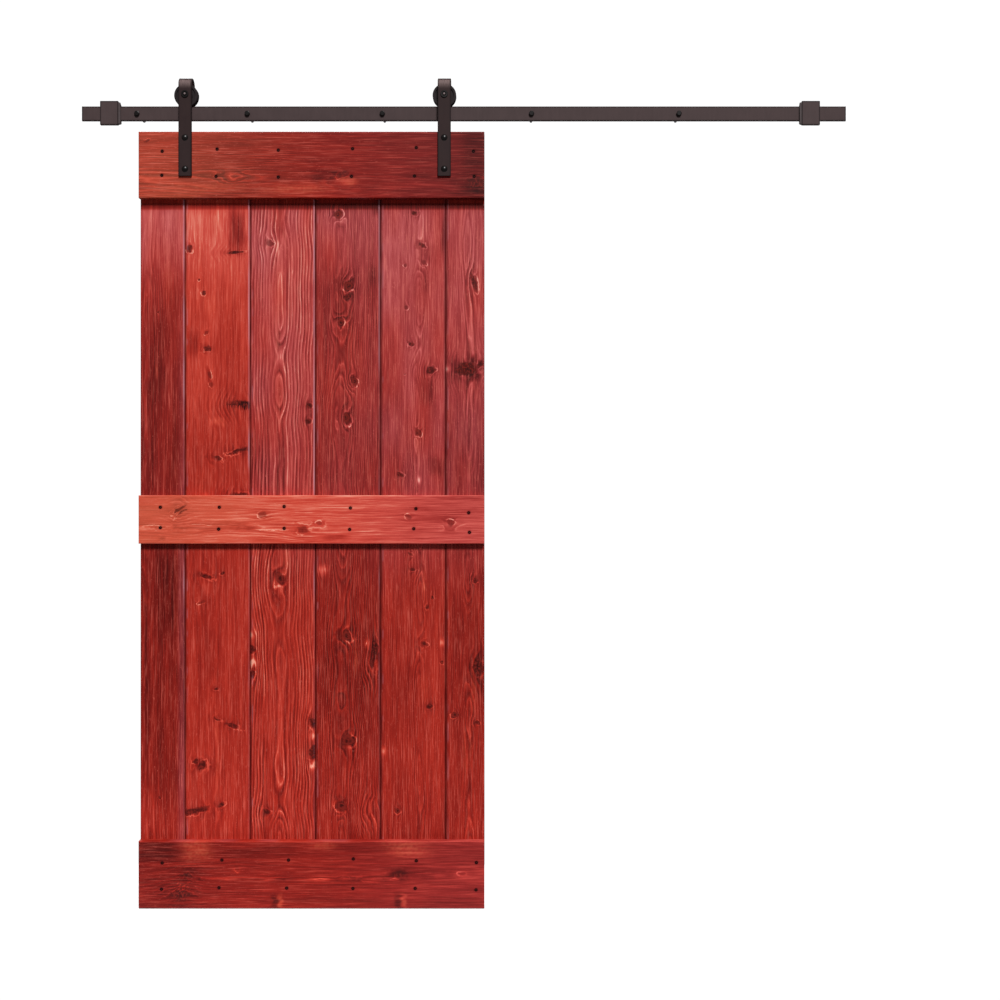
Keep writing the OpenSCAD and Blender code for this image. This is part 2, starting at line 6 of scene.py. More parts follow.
import bmesh
import bpy
import numpy as np
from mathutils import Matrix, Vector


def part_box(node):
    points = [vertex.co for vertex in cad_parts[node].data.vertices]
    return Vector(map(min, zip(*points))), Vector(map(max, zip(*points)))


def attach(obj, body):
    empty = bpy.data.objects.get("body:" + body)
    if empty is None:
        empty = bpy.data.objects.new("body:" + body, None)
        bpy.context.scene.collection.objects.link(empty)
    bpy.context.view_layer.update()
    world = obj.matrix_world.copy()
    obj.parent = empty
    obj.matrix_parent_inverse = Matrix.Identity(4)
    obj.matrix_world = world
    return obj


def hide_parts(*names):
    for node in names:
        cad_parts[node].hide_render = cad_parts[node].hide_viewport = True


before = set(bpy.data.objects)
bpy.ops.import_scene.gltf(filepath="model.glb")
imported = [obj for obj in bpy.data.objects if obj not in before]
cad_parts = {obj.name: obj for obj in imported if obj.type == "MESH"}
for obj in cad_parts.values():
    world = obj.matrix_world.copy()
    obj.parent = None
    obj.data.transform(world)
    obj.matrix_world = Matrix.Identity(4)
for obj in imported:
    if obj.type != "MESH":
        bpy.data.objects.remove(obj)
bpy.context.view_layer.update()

MM = 0.001

# ------------------------ small helpers


def srgb(red, green, blue):
    """A linear colour from the three 0-255 values of a colour chart."""
    def linear(value):
        value /= 255
        return value / 12.92 if value <= 0.04045 else ((value + 0.055) / 1.055) ** 2.4
    return (linear(red), linear(green), linear(blue), 1.0)


def smoothstep(x, low, high):
    t = np.clip((x - low) / (high - low), 0, 1)
    return t * t * (3 - 2 * t)


def bell(x, half):
    return np.exp(-(x / half) ** 2)


def soft_noise(x, y, cell_x, cell_y, seed):
    """Smooth noise from -1 to 1, with soft lumps of about cell_x by cell_y."""
    rng = np.random.default_rng(seed)
    gx = x / cell_x + 1000
    gy = y / cell_y + 1000
    ix = np.floor(gx).astype(int)
    iy = np.floor(gy).astype(int)
    tx = gx - ix
    ty = gy - iy
    tx = tx * tx * (3 - 2 * tx)
    ty = ty * ty * (3 - 2 * ty)
    ix -= ix.min()
    iy -= iy.min()
    lattice = rng.uniform(-1, 1, (ix.max() + 2, iy.max() + 2))
    low = lattice[ix, iy] * (1 - tx) + lattice[ix + 1, iy] * tx
    high = lattice[ix, iy + 1] * (1 - tx) + lattice[ix + 1, iy + 1] * tx
    return low * (1 - ty) + high * ty


# ------------------------ shader helpers


class Nodes:
    """Builds a material's node tree from short calls."""

    def __init__(self, name):
        self.material = bpy.data.materials.new(name)
        self.material.use_nodes = True
        self.tree = self.material.node_tree
        self.tree.nodes.clear()
        self.out = self.tree.nodes.new("ShaderNodeOutputMaterial")
        self.shader = self.tree.nodes.new("ShaderNodeBsdfPrincipled")
        self.tree.links.new(self.shader.outputs[0], self.out.inputs[0])

    def link(self, source, socket):
        if isinstance(source, (int, float, tuple)):
            socket.default_value = source
        else:
            self.tree.links.new(source, socket)

    def attribute(self, name):
        node = self.tree.nodes.new("ShaderNodeAttribute")
        node.attribute_name = name
        return node.outputs["Fac"]

    def place(self, scale=(1, 1, 1)):
        """Object coordinates in millimetres, divided by scale."""
        coords = self.tree.nodes.new("ShaderNodeTexCoord")
        mapping = self.tree.nodes.new("ShaderNodeMapping")
        mapping.inputs["Scale"].default_value = tuple(1 / (MM * s) for s in scale)
        self.tree.links.new(coords.outputs["Object"], mapping.inputs["Vector"])
        return mapping.outputs[0]

    def inside(self, axis, low, high):
        """How far a point lies inside two planes across an axis, in millimetres; they are given in metres."""
        coords = self.tree.nodes.new("ShaderNodeTexCoord")
        split = self.tree.nodes.new("ShaderNodeSeparateXYZ")
        self.tree.links.new(coords.outputs["Object"], split.inputs[0])
        at = split.outputs[axis]
        nearer = self.math("MINIMUM", self.add(at, -low), self.math("SUBTRACT", high, at))
        return self.times(nearer, 1 / MM)

    def noise(self, vector, detail=3.0, roughness=0.5, distortion=0.0):
        node = self.tree.nodes.new("ShaderNodeTexNoise")
        self.tree.links.new(vector, node.inputs["Vector"])
        node.inputs["Scale"].default_value = 1.0
        node.inputs["Detail"].default_value = detail
        node.inputs["Roughness"].default_value = roughness
        node.inputs["Distortion"].default_value = distortion
        return node.outputs["Fac"]

    def random(self, value):
        """A random level from 0 to 1 for each whole number."""
        node = self.tree.nodes.new("ShaderNodeTexWhiteNoise")
        node.noise_dimensions = "1D"
        self.tree.links.new(value, node.inputs["W"])
        return node.outputs["Value"]

    def math(self, operation, a, b=0.0):
        node = self.tree.nodes.new("ShaderNodeMath")
        node.operation = operation
        self.link(a, node.inputs[0])
        self.link(b, node.inputs[1])
        return node.outputs[0]

    def add(self, a, b):
        return self.math("ADD", a, b)

    def times(self, a, b):
        return self.math("MULTIPLY", a, b)

    def around_zero(self, noise, size):
        """A noise shifted so that its middle is zero, times size."""
        return self.times(self.add(noise, -0.5), size)

    def ramp(self, value, stops, smooth):
        node = self.tree.nodes.new("ShaderNodeValToRGB")
        node.color_ramp.interpolation = "EASE" if smooth else "LINEAR"
        elements = node.color_ramp.elements
        while len(elements) > 1:
            elements.remove(elements[-1])
        elements[0].position = stops[0][0]
        elements[0].color = stops[0][1]
        for position, colour in stops[1:]:
            elements.new(position).color = colour
        self.link(value, node.inputs[0])
        return node.outputs[0]

    def curve(self, value, *stops):
        """A value through a smooth ramp of (place, level) stops."""
        return self.ramp(value, [(place, (level,) * 3 + (1,)) for place, level in stops], True)

    def colours(self, value, *stops):
        """A value through a ramp of (place, colour) stops."""
        return self.ramp(value, stops, False)

    def mix(self, share, a, b):
        node = self.tree.nodes.new("ShaderNodeMix")
        node.data_type = "RGBA"
        node.clamp_factor = True
        self.link(share, node.inputs[0])
        self.link(a, node.inputs[6])
        self.link(b, node.inputs[7])
        return node.outputs[2]

    def bump(self, height, depth_mm, strength=1.0):
        node = self.tree.nodes.new("ShaderNodeBump")
        node.inputs["Distance"].default_value = depth_mm * MM
        node.inputs["Strength"].default_value = strength
        self.link(height, node.inputs["Height"])
        self.tree.links.new(node.outputs[0], self.shader.inputs["Normal"])

    def set(self, **values):
        for name, value in values.items():
            self.link(value, self.shader.inputs[name.replace("_", " ").title()])


# ------------------------ wood: what grows in each board

# All lengths are in millimetres, tones and shares from 0 to 1.
# seed: its random draws. tone: how light the stain is. head, foot: how much lighter the two ends are.
# rise: how much lighter the upper half is.
# ring: the spacing of the growth rings. gain: how strongly they show. fade: how much of that is lost towards
# the far end. pith: its place across the board, 0 left edge, 1 right edge. depth: how far behind the face it
# lies. wave, swell: by how much, and over what length, that depth changes, which draws the grain's arches.
# column: half width of the strip of arches, where the rings show most.
# haze: dusty pink veil in the upper half; crown: the same at the very top; edge_haze: along the right edge.
# raw: how much bare wood shows through. dusty: how pale its light strands are. ink: how dark the knots are.
# A knot is (across 0..1, along from the board's foot or the rail's left end, half width, half height, kind).
# A smear is (across 0..1, along, half width, half length, how much darker). Below zero, it is rubbed pale.

PLAIN = dict(head=0.08, foot=0.0, rise=0.04, ring=6.0, fade=0.0, pith=0.5, depth=30, wave=10, swell=260,
             column=60, haze=0.1, crown=0.1, edge_haze=0.0, raw=0.0, dusty=0.34, ink=1.0)

BOARD_WOOD = [
    dict(seed=11, tone=0.42, head=0.22, foot=0.09, rise=0.08, ring=4.5, gain=0.30, pith=0.2,
         haze=0.15, crown=0.6, edge_haze=1.0,
         knots=[(0.4, 1640, 3, 4, "pin"), (0.45, 300, 4, 5, "pin")],
         smears=[(0.40, 1500, 22, 150, 0.12), (0.25, 1350, 10, 200, 0.08), (0.62, 860, 34, 110, 0.13),
                 (0.50, 940, 44, 60, 0.06), (0.7, 330, 22, 90, 0.07), (0.2, 1880, 10, 140, -0.06),
                 (0.62, 1800, 9, 110, -0.10), (0.85, 900, 8, 260, -0.05), (0.45, 560, 10, 240, 0.09),
                 (0.15, 600, 7, 200, 0.07), (0.75, 1200, 8, 260, 0.06), (0.35, 1480, 3, 20, -0.14)]),
    dict(seed=12, tone=0.585, head=0.165, foot=-0.02, rise=0.115, ring=6.5, gain=0.20, pith=0.35, depth=60,
         haze=0.0, crown=0.16,
         knots=[(0.06, 1817, 10, 10, "spike"), (0.76, 1806, 22, 4, "dark"), (0.22, 1730, 4, 4, "pin"),
                (0.30, 1694, 7, 7, "pin"), (0.34, 1584, 6, 5, "faint"), (0.34, 1540, 10, 7, "spike"),
                (0.38, 1470, 4, 13, "faint"), (0.40, 1442, 5, 8, "faint"), (0.86, 1382, 40, 14, "comb"),
                (0.50, 1238, 14, 6, "spike"), (0.83, 1258, 29, 8, "rise"), (0.32, 912, 19, 7, "fall"),
                (0.58, 920, 8, 5, "pin"), (0.27, 840, 11, 5, "faint"), (0.48, 600, 8, 4, "pin"),
                (0.50, 516, 12, 4, "fall"), (0.72, 500, 20, 7, "fall"), (0.26, 388, 20, 11, "rise"),
                (0.18, 400, 8, 8, "spike"), (0.17, 264, 29, 9, "rise"), (0.55, 280, 11, 7, "rise"),
                (0.8, 1132, 26, 10, "dark")],
         smears=[(0.80, 1868, 25, 60, 0.36), (0.12, 1552, 18, 36, 0.18), (0.40, 1660, 22, 26, -0.06),
                 (0.5, 1338, 22, 10, -0.14), (0.7, 1500, 22, 150, 0.07), (0.35, 700, 40, 100, 0.06),
                 (0.62, 1040, 16, 50, 0.10), (0.52, 1040, 5, 60, -0.08), (0.3, 1160, 30, 50, -0.04),
                 (0.5, 430, 4, 110, -0.10), (0.2, 1880, 12, 50, -0.05)]),
    dict(seed=13, tone=0.585, head=0.04, foot=-0.06, rise=0.06, ring=8.2, gain=0.85, pith=0.46, depth=16,
         wave=13, swell=95, column=400, haze=0.5, crown=0.7,
         knots=[(0.30, 1832, 13, 8, "hook"), (0.90, 1384, 9, 8, "dark"), (0.90, 1340, 9, 8, "dark"),
                (0.46, 903, 16, 20, "eye"), (0.40, 1040, 14, 7, "dark"), (0.02, 750, 8, 8, "spark"),
                (0.02, 712, 10, 14, "dark"), (0.02, 672, 8, 7, "spark"), (0.02, 640, 10, 14, "dark"),
                (0.26, 262, 12, 7, "fall"), (0.97, 505, 12, 14, "dark"), (0.98, 470, 6, 6, "spark"),
                (0.98, 425, 12, 20, "dark"), (0.98, 388, 7, 7, "spark")],
         smears=[(0.42, 1816, 5, 22, -0.26), (0.47, 1730, 9, 60, -0.12), (0.42, 1600, 6, 80, -0.09),
                 (0.44, 1548, 5, 44, 0.16), (0.55, 960, 12, 40, -0.14), (0.4, 1900, 60, 40, 0.04),
                 (0.12, 1240, 24, 60, 0.08), (0.45, 1420, 8, 50, -0.10), (0.5, 1180, 30, 60, -0.03)]),
    dict(seed=14, tone=0.462, head=0.07, foot=0.02, rise=0.07, ring=5.4, gain=0.50, pith=0.42, depth=24,
         wave=15, swell=170, column=200, haze=0.42, crown=0.7,
         knots=[(0.36, 1910, 12, 12, "eye"), (0.50, 1716, 14, 14, "eye"), (0.50, 1684, 9, 7, "dark"),
                (0.40, 1614, 10, 11, "eye"), (0.59, 1450, 10, 12, "eye"), (0.49, 1350, 14, 21, "eye"),
                (0.47, 746, 18, 16, "eye"), (0.92, 716, 8, 20, "dark"), (0.80, 726, 4, 6, "spark"),
                (0.84, 660, 16, 24, "swirl"), (0.50, 458, 18, 18, "lean"), (0.39, 276, 14, 16, "eye"),
                (0.12, 930, 8, 8, "spark"), (0.86, 262, 26, 24, "swirl"), (0.40, 560, 9, 20, "swirl")],
         smears=[(0.35, 1620, 56, 110, 0.05), (0.75, 560, 34, 150, 0.08), (0.3, 620, 44, 110, 0.07),
                 (0.55, 1560, 5, 70, -0.07), (0.7, 1490, 5, 60, -0.07), (0.5, 1720, 60, 40, 0.05),
                 (0.96, 1935, 12, 24, 0.25), (0.04, 1935, 8, 20, 0.20), (0.62, 690, 4, 40, -0.12),
                 (0.9, 1740, 14, 26, 0.12)]),
    dict(seed=15, tone=0.55, head=0.0, foot=-0.05, rise=0.09, ring=5.6, gain=0.55, pith=0.58, depth=12,
         wave=13, swell=120, column=22, haze=0.66, crown=0.8,
         knots=[(0.53, 1915, 8, 7, "dark"), (0.64, 1826, 12, 6, "fall"), (0.68, 1780, 7, 9, "faint"),
                (0.39, 1770, 6, 5, "faint"), (0.40, 1654, 7, 8, "faint"), (0.47, 1552, 9, 7, "fall"),
                (0.76, 1480, 17, 10, "rise"), (0.38, 1470, 3, 3, "pin"), (0.58, 1308, 9, 10, "eye"),
                (0.30, 1192, 11, 6, "fall"), (0.60, 1178, 3, 6, "spark"), (0.46, 972, 8, 6, "spike"),
                (0.49, 930, 9, 6, "spike"), (0.80, 852, 5, 6, "pin"), (0.73, 826, 6, 7, "pin"),
                (0.68, 724, 10, 6, "spike"), (0.95, 728, 4, 6, "spark"), (0.95, 674, 5, 6, "pin"),
                (0.76, 552, 10, 7, "dark"), (0.05, 428, 4, 7, "spark"), (0.27, 264, 9, 9, "eye")],
         smears=[(0.72, 1800, 22, 26, 0.14), (0.70, 1730, 10, 36, 0.14), (0.70, 1420, 22, 40, 0.16),
                 (0.86, 1216, 20, 26, 0.15), (0.68, 896, 3, 34, -0.24), (0.58, 1250, 4, 60, -0.14),
                 (0.3, 560, 50, 110, 0.05), (0.98, 1850, 8, 56, 0.22), (0.1, 1400, 8, 300, 0.04),
                 (0.68, 600, 14, 50, -0.06)]),
    dict(seed=16, tone=0.49, head=0.02, foot=0.0, rise=0.11, ring=5.6, gain=0.55, pith=0.62, depth=13,
         wave=12, swell=130, column=22, haze=0.72, crown=1.0,
         knots=[(0.72, 1730, 9, 27, "plunge"), (0.55, 1482, 31, 19, "dark"), (0.90, 1498, 8, 10, "spike"),
                (0.77, 902, 9, 8, "spike"), (0.86, 660, 18, 22, "plunge"), (0.24, 528, 10, 8, "eye"),
                (0.80, 508, 7, 7, "spike"), (0.02, 1484, 7, 5, "spark")],
         smears=[(0.85, 1740, 8, 44, -0.14), (0.62, 1210, 5, 36, -0.12), (0.3, 760, 20, 90, 0.06),
                 (0.5, 430, 4, 60, -0.10), (0.62, 440, 4, 50, -0.09), (0.55, 1482, 50, 28, 0.14),
                 (0.72, 600, 5, 60, -0.10), (0.95, 1220, 12, 90, 0.10), (0.9, 640, 16, 60, 0.14)]),
]

# The rails lie on their side: across runs from the lower edge up, along from the left end, and foot and head
# are their left and right ends.
RAIL_WOOD = {
    "top_rail": dict(
        seed=21, tone=0.465, head=-0.16, foot=0.09, ring=5.0, gain=0.75, fade=0.8, pith=0.25, depth=46,
        wave=6, column=400, haze=0.32, raw=0.16, dusty=0.42, ink=0.7,
        knots=[(0.86, 22, 4, 9, "spike"), (0.33, 254, 12, 20, "swirl"), (0.30, 322, 8, 42, "swirl"),
               (0.36, 562, 8, 14, "spike"), (0.22, 560, 12, 34, "swirl"), (0.2, 930, 18, 24, "dark")],
        smears=[(0.35, 520, 18, 44, 0.12), (0.25, 577, 10, 20, -0.20), (0.16, 450, 16, 80, -0.07),
                (0.7, 930, 56, 40, 0.10), (0.4, 700, 34, 140, 0.05), (0.15, 180, 12, 130, -0.09),
                (0.12, 420, 12, 90, -0.09), (0.75, 560, 40, 150, 0.05)]),
    "middle_rail": dict(
        seed=22, tone=0.81, head=-0.09, foot=-0.08, gain=0.34, pith=0.33, depth=24, wave=8, column=30,
        haze=0.4, raw=0.22, ink=0.5,
        knots=[(0.71, 114, 24, 11, "fan"), (0.60, 342, 8, 11, "fall"), (0.28, 450, 10, 16, "dark"),
               (0.42, 496, 6, 9, "eye"), (0.54, 742, 7, 9, "pin"), (0.42, 858, 10, 11, "eye"),
               (0.33, 41, 5, 24, "lens"), (0.34, 166, 5, 44, "lens"), (0.33, 364, 5, 66, "lens")],
        smears=[(0.75, 110, 22, 26, 0.07), (0.1, 60, 5, 10, 0.16), (0.12, 545, 7, 36, 0.20),
                (0.8, 500, 12, 380, -0.02), (0.6, 820, 34, 110, 0.05), (0.95, 880, 5, 60, 0.12)]),
    "bottom_rail": dict(
        seed=23, tone=0.385, head=0.04, foot=-0.06, gain=0.24, depth=34, wave=8, column=40,
        haze=0.35, dusty=0.16, ink=0.6,
        knots=[(0.50, 134, 9, 10, "dark"), (0.20, 118, 22, 24, "fan"), (0.57, 272, 5, 8, "lens"),
               (0.44, 300, 3, 80, "lens"), (0.42, 500, 3, 44, "lens"), (0.44, 570, 5, 10, "lens"),
               (0.43, 640, 5, 20, "lens"), (0.50, 714, 8, 12, "dark"), (0.42, 700, 3, 8, "lens"),
               (0.50, 800, 4, 28, "lens"), (0.51, 886, 5, 9, "lens")],
        smears=[(0.84, 50, 28, 62, 0.16), (0.86, 160, 28, 40, -0.16), (0.9, 740, 24, 60, -0.15),
                (0.93, 510, 9, 30, -0.12), (0.88, 600, 30, 90, 0.07), (0.86, 330, 24, 110, 0.06),
                (0.08, 850, 22, 110, 0.10), (0.1, 390, 20, 7, -0.16), (0.1, 374, 20, 9, 0.18),
                (0.1, 728, 20, 7, -0.16), (0.1, 712, 22, 9, 0.18), (0.1, 560, 14, 150, 0.06)]),
}

# eye: how much of its ringed inside shows. loops: how far closed rings crowd in round it, in millimetres.
# heart: how dark its core is. rim: how light its edge is, a pale ring with a painted highlight on one side.
# lean: the angle of its long axis. shade: how much it darkens the wood round it.
# rough: how ragged its outline is.
KNOT_KINDS = {
    "eye": dict(eye=1.0, loops=9.0, heart=0.90, rim=1.0, lean=10, shade=0.09, rough=0.2),
    "lean": dict(eye=0.9, loops=7.0, heart=0.95, rim=0.8, lean=35, shade=0.09, rough=0.2),
    "dark": dict(eye=0.3, loops=3.0, heart=0.95, rim=0.45, lean=5, shade=0.16, rough=0.6),
    "pin": dict(eye=0.0, loops=2.0, heart=0.80, rim=0.7, lean=10, shade=0.04, rough=0.5),
    "faint": dict(eye=0.4, loops=3.0, heart=0.45, rim=0.8, lean=25, shade=0.05, rough=0.7),
    "hook": dict(eye=0.6, loops=5.0, heart=0.65, rim=0.9, lean=-15, shade=0.06, rough=0.8),
    "spike": dict(eye=0.3, loops=4.0, heart=0.80, rim=0.8, lean=-20, shade=0.10, rough=1.0),
    "rise": dict(eye=0.2, loops=3.0, heart=0.90, rim=0.7, lean=22, shade=0.11, rough=0.8),
    "fall": dict(eye=0.2, loops=3.0, heart=0.85, rim=0.7, lean=-24, shade=0.10, rough=0.8),
    "fan": dict(eye=0.2, loops=6.0, heart=1.30, rim=0.60, lean=50, shade=0.10, rough=0.9),
    "plunge": dict(eye=0.2, loops=4.0, heart=0.85, rim=0.9, lean=18, shade=0.13, rough=0.5),
    "comb": dict(eye=0.0, loops=0.0, heart=1.0, rim=0.0, lean=-4, shade=0.05, rough=0.4),
    "lens": dict(eye=0.0, loops=3.0, heart=0.02, rim=0.7, lean=0, shade=-0.04, rough=0.4),
    "swirl": dict(eye=0.0, loops=8.0, heart=0.0, rim=0.0, lean=0, shade=-0.03, rough=0.2),
    "spark": dict(eye=0.0, loops=0.0, heart=0.0, rim=0.0, lean=0, shade=-0.42, rough=0.5),
}
FAR = 4.0              # stands for "no knot near" in the knot distance
KNOT_WOBBLE = 0.4      # how uneven a knot's outline is, as a share of its half width and half height
KNOT_PINCH = 0.8       # how far the rings close in above and below a knot
LOOPS_REACH = 1.9      # how far these three reach round a knot, in knot sizes
SHADE_REACH = 1.7
SWIRL_REACH = 2.6
SKIN_TOP = 2           # marks on the face fade out between these two depths behind it, in millimetres
SKIN_BOTTOM = 6
ONLY_SKIN = -0.1       # a knot with a shade below this is only a bright mark in the skin
SMEAR_SQUARE = 3.4     # how square a smear's outline is
RUBBED_SHARE = 0.8     # how much of a smear below zero goes to the tone, besides the bare wood it shows
FADE_ALONG = (60, 600)   # where the rings fade along a rail, in millimetres
# How the growth rings and the stain's tone wander: (size, cell across, cell along, number of the noise)
RING_WANDER = ((2.4, 50, 360, 2), (1.0, 16, 120, 3), (0.9, 10, 36, 12))
TONE_WANDER = ((0.030, 50, 240, 8), (0.025, 12, 200, 9), (0.035, 5, 70, 14))


def grow(wood, across, along, width, behind):
    """The wood's look at points given in millimetres across and along the grain and behind the face."""
    rng = np.random.default_rng(wood.seed)
    seed = wood.seed * 10
    still = np.zeros_like(along)
    warped = across.copy()
    loops = np.zeros_like(across)
    near_all = np.full_like(across, FAR)
    heart = np.zeros_like(across)
    rim = np.zeros_like(across)
    eye = np.zeros_like(across)
    swirl = np.zeros_like(across)
    tone = np.zeros_like(across)
    bare = np.zeros_like(across)

    # knots: near is the distance from a knot's middle, 1 at its edge
    ragged = soft_noise(across, along, 5, 6, seed + 4) + 0.6 * soft_noise(across, along, 2.6, 11, seed + 16)
    for at, reach, half_w, half_h, kind in wood.knots:
        look = KNOT_KINDS[kind]
        lit_side = rng.uniform(-2.6, 0.6)
        du = across - at * width
        dv = along - reach
        lean = math.radians(look["lean"])
        bent_u = du + KNOT_WOBBLE * half_w * soft_noise(du, dv, half_w, 1.2 * half_h, seed + reach)
        bent_v = dv + KNOT_WOBBLE * half_h * soft_noise(du, dv, half_w, half_h, seed + reach + 1)
        long_way = bent_u * math.cos(lean) + bent_v * math.sin(lean)
        short_way = bent_v * math.cos(lean) - bent_u * math.sin(lean)
        near = np.hypot(long_way / half_w, short_way / half_h)
        near = np.clip(near * (1 + 0.3 * look["rough"] * ragged), 0, None)
        bend = np.exp(-(du / (2.2 * half_w)) ** 2 - (dv / (3.0 * half_h + 8)) ** 2)
        warped -= KNOT_PINCH * du * bend
        loops += look["loops"] * bell(near, LOOPS_REACH)
        if kind == "comb":
            teeth = smoothstep(np.sin(across * 1.1 + 2 * soft_noise(across, still, 9, 1, seed)), -0.7, 0.7)
            near = near + np.where(dv < 0, 0.7 * teeth, 0.1)
        if kind == "fan":
            near = near + 0.9 * smoothstep(np.sin(short_way * 0.62 + 1.0 * ragged), -0.1, 0.7)
        shade = look["shade"] * (behind < SKIN_BOTTOM) if look["shade"] < ONLY_SKIN else look["shade"]
        apart = np.hypot(du / half_w, dv / half_h)
        tone -= shade * bell(apart, SHADE_REACH)
        if look["heart"] > 0:
            angle = np.arctan2(dv / half_h, du / half_w)
            closer = near < near_all
            heart = np.where(closer, wood.ink * look["heart"], heart)
            # painted highlight: the rim is brightest on the side towards lit_side
            lit = np.clip(0.3 + np.cos(angle - lit_side), 0, 1)
            lit = lit * np.abs(np.cos(angle)) ** (half_h / half_w / 4)   # a long knot's rim fades at its ends
            rim = np.where(closer, look["rim"] * lit, rim)
            eye = np.where(closer, look["eye"], eye)
            near_all = np.minimum(near, near_all)
        swirl = np.maximum(swirl, bell(apart, SWIRL_REACH) * min(1.0, half_h / 12))

    # growth rings: the distance from the pith, which wanders along the board
    pith = wood.pith * width + 7 * soft_noise(along, still, 300, 1, seed)
    pith = pith + 3 * soft_noise(along, still, 90, 1, seed)
    deep = wood.depth + wood.wave * soft_noise(along, still, wood.swell, 1, seed + 1)
    radius = np.hypot(warped - pith, deep + behind) + loops
    for size, cell_across, cell_along, number in RING_WANDER:
        radius += size * soft_noise(across, along, cell_across, cell_along, seed + number)

    # smears: uneven patches of darker stain, or of wood rubbed bare
    drift_u = 3 * soft_noise(across, along, 9, 40, seed + 6)
    drift_u = drift_u + 1.5 * soft_noise(across, along, 4, 16, seed + 17)
    drift_v = 8 * soft_noise(across, along, 7, 60, seed + 7)
    streak = 1 + 0.35 * soft_noise(across, along, 4, 90, seed + 13)
    mottle = np.clip(0.55 + 0.6 * soft_noise(across, along, 3, 5, seed + 18), 0, 1)
    skin = 1 - smoothstep(behind, SKIN_TOP, SKIN_BOTTOM)
    for at, reach, half_a, half_b, strength in wood.smears:
        du = across - at * width + drift_u
        dv = along - reach + drift_v
        outline = np.abs(du / half_a) ** SMEAR_SQUARE + np.abs(dv / half_b) ** SMEAR_SQUARE
        smear = strength * streak * np.exp(-outline)
        tone -= RUBBED_SHARE * smear if strength < 0 else smear
        bare += np.maximum(-smear, 0) * mottle

    # the stain's own unevenness, and where the rings show
    for size, cell_across, cell_along, number in TONE_WANDER:
        tone += size * soft_noise(across, along, cell_across, cell_along, seed + number)
    patches = smoothstep(soft_noise(across, along, 30, 130, seed + 15), -0.6, 0.5)
    near_pith = bell(across - pith, wood.column)
    gain = wood.gain * (0.4 + 0.6 * patches) * (0.25 + 0.75 * near_pith) + 0.5 * swirl
    gain = gain * (1 - wood.fade * smoothstep(along, *FADE_ALONG))
    return SimpleNamespace(ring=radius / wood.ring, knot=near_all, heart=heart, rim=rim, eye=eye,
                           gain=np.clip(gain, 0, 1), tone=tone, bare=bare * skin)


# ------------------------ wood: meshes

FACE_STEP = 2.2 * MM   # mesh pitch across a board's face
ROW_STEP = 3.6 * MM    # mesh pitch along a board
RAIL_STEP = 2.8 * MM
BACK_STEP = 14 * MM
EDGE_STEP = 5 * MM
OUTER_EASE = 1.2 * MM  # on the leaf's two outer edges
V_FACE = 2.6 * MM      # the V between two faces, and between two backs
V_BACK = 1.2 * MM
TONGUE = 7 * MM
TONGUE_HALF = 3 * MM
TONGUE_GAP = 0.3 * MM
RAIL_EASE = 1.6 * MM
LAST_BOARD = len(BOARD_WOOD) - 1


def spread(low, high, step):
    count = max(2, int(round((high - low) / step)) + 1)
    return list(np.linspace(low, high, count))


def board_section(index, low, high):
    """Points of a board's section as (x, y). The outline runs along the face from left to right, round the
    tongue, and back along the rear."""
    first, last = index == 0, index == LAST_BOARD
    face, back = low[1], high[1]
    left = low[0]
    right = high[0] - (0 if last else TONGUE)
    v_left = OUTER_EASE if first else V_FACE
    v_right = OUTER_EASE if last else V_FACE
    middle = (face + back) / 2
    points = [(left, face + v_left), (left + v_left * 0.55, face + v_left * 0.38)]
    points += [(x, face) for x in spread(left + v_left * 1.15, right - v_right * 1.15, FACE_STEP)]
    points += [(right - v_right * 0.55, face + v_right * 0.38), (right, face + v_right)]
    if not last:
        points += [(right, middle - TONGUE_HALF), (right + TONGUE, middle - TONGUE_HALF),
                   (right + TONGUE, middle + TONGUE_HALF), (right, middle + TONGUE_HALF)]
    points += [(right, back - V_BACK), (right - V_BACK, back)]
    points += [(x, back) for x in spread(right - 12 * MM, left + 12 * MM, BACK_STEP)]
    points += [(left + V_BACK, back), (left, back - V_BACK)]
    if not first:
        half = TONGUE_HALF + TONGUE_GAP
        deep = left + TONGUE + TONGUE_GAP
        points += [(left, middle + half), (deep, middle + half), (deep, middle - half), (left, middle - half)]
    return points, left, right


def rail_section(low, high):
    """Points of a rail's section as (z, y), up its face, back over the top, down the rear."""
    face, back = low[1], high[1]
    bottom, top = low[2], high[2]
    points = [(bottom, face + RAIL_EASE), (bottom + RAIL_EASE * 0.4, face + RAIL_EASE * 0.3)]
    points += [(z, face) for z in spread(bottom + RAIL_EASE * 1.2, top - RAIL_EASE * 1.2, RAIL_STEP)]
    points += [(top - RAIL_EASE * 0.4, face + RAIL_EASE * 0.3), (top, face + RAIL_EASE)]
    points += [(top, y) for y in spread(face + 2.5 * RAIL_EASE, back, EDGE_STEP)]
    points += [(z, back) for z in spread(top - 15 * MM, bottom + 15 * MM, 2 * BACK_STEP)]
    points += [(bottom, y) for y in spread(back, face + 2.5 * RAIL_EASE, EDGE_STEP)]
    return points


def loft(name, section, rows):
    """A closed mesh from one flat section repeated along rows, and each point's place in section and row."""
    n = len(section)
    m = len(rows)
    p = np.tile([s[0] for s in section], m)
    q = np.tile([s[1] for s in section], m)
    r = np.repeat(np.array(rows), n)
    i = np.arange(n)
    j = (i + 1) % n
    base = (np.arange(m - 1) * n)[:, None]
    quads = np.stack([base + i, base + j, base + n + j, base + n + i], axis=-1).reshape(-1, 4)
    faces = [tuple(f) for f in quads.tolist()]
    faces.append(tuple(range(n - 1, -1, -1)))
    faces.append(tuple(range((m - 1) * n, m * n)))
    mesh = bpy.data.meshes.new(name)
    mesh.from_pydata(np.zeros((n * m, 3)).tolist(), [], faces)
    return mesh, p, q, r


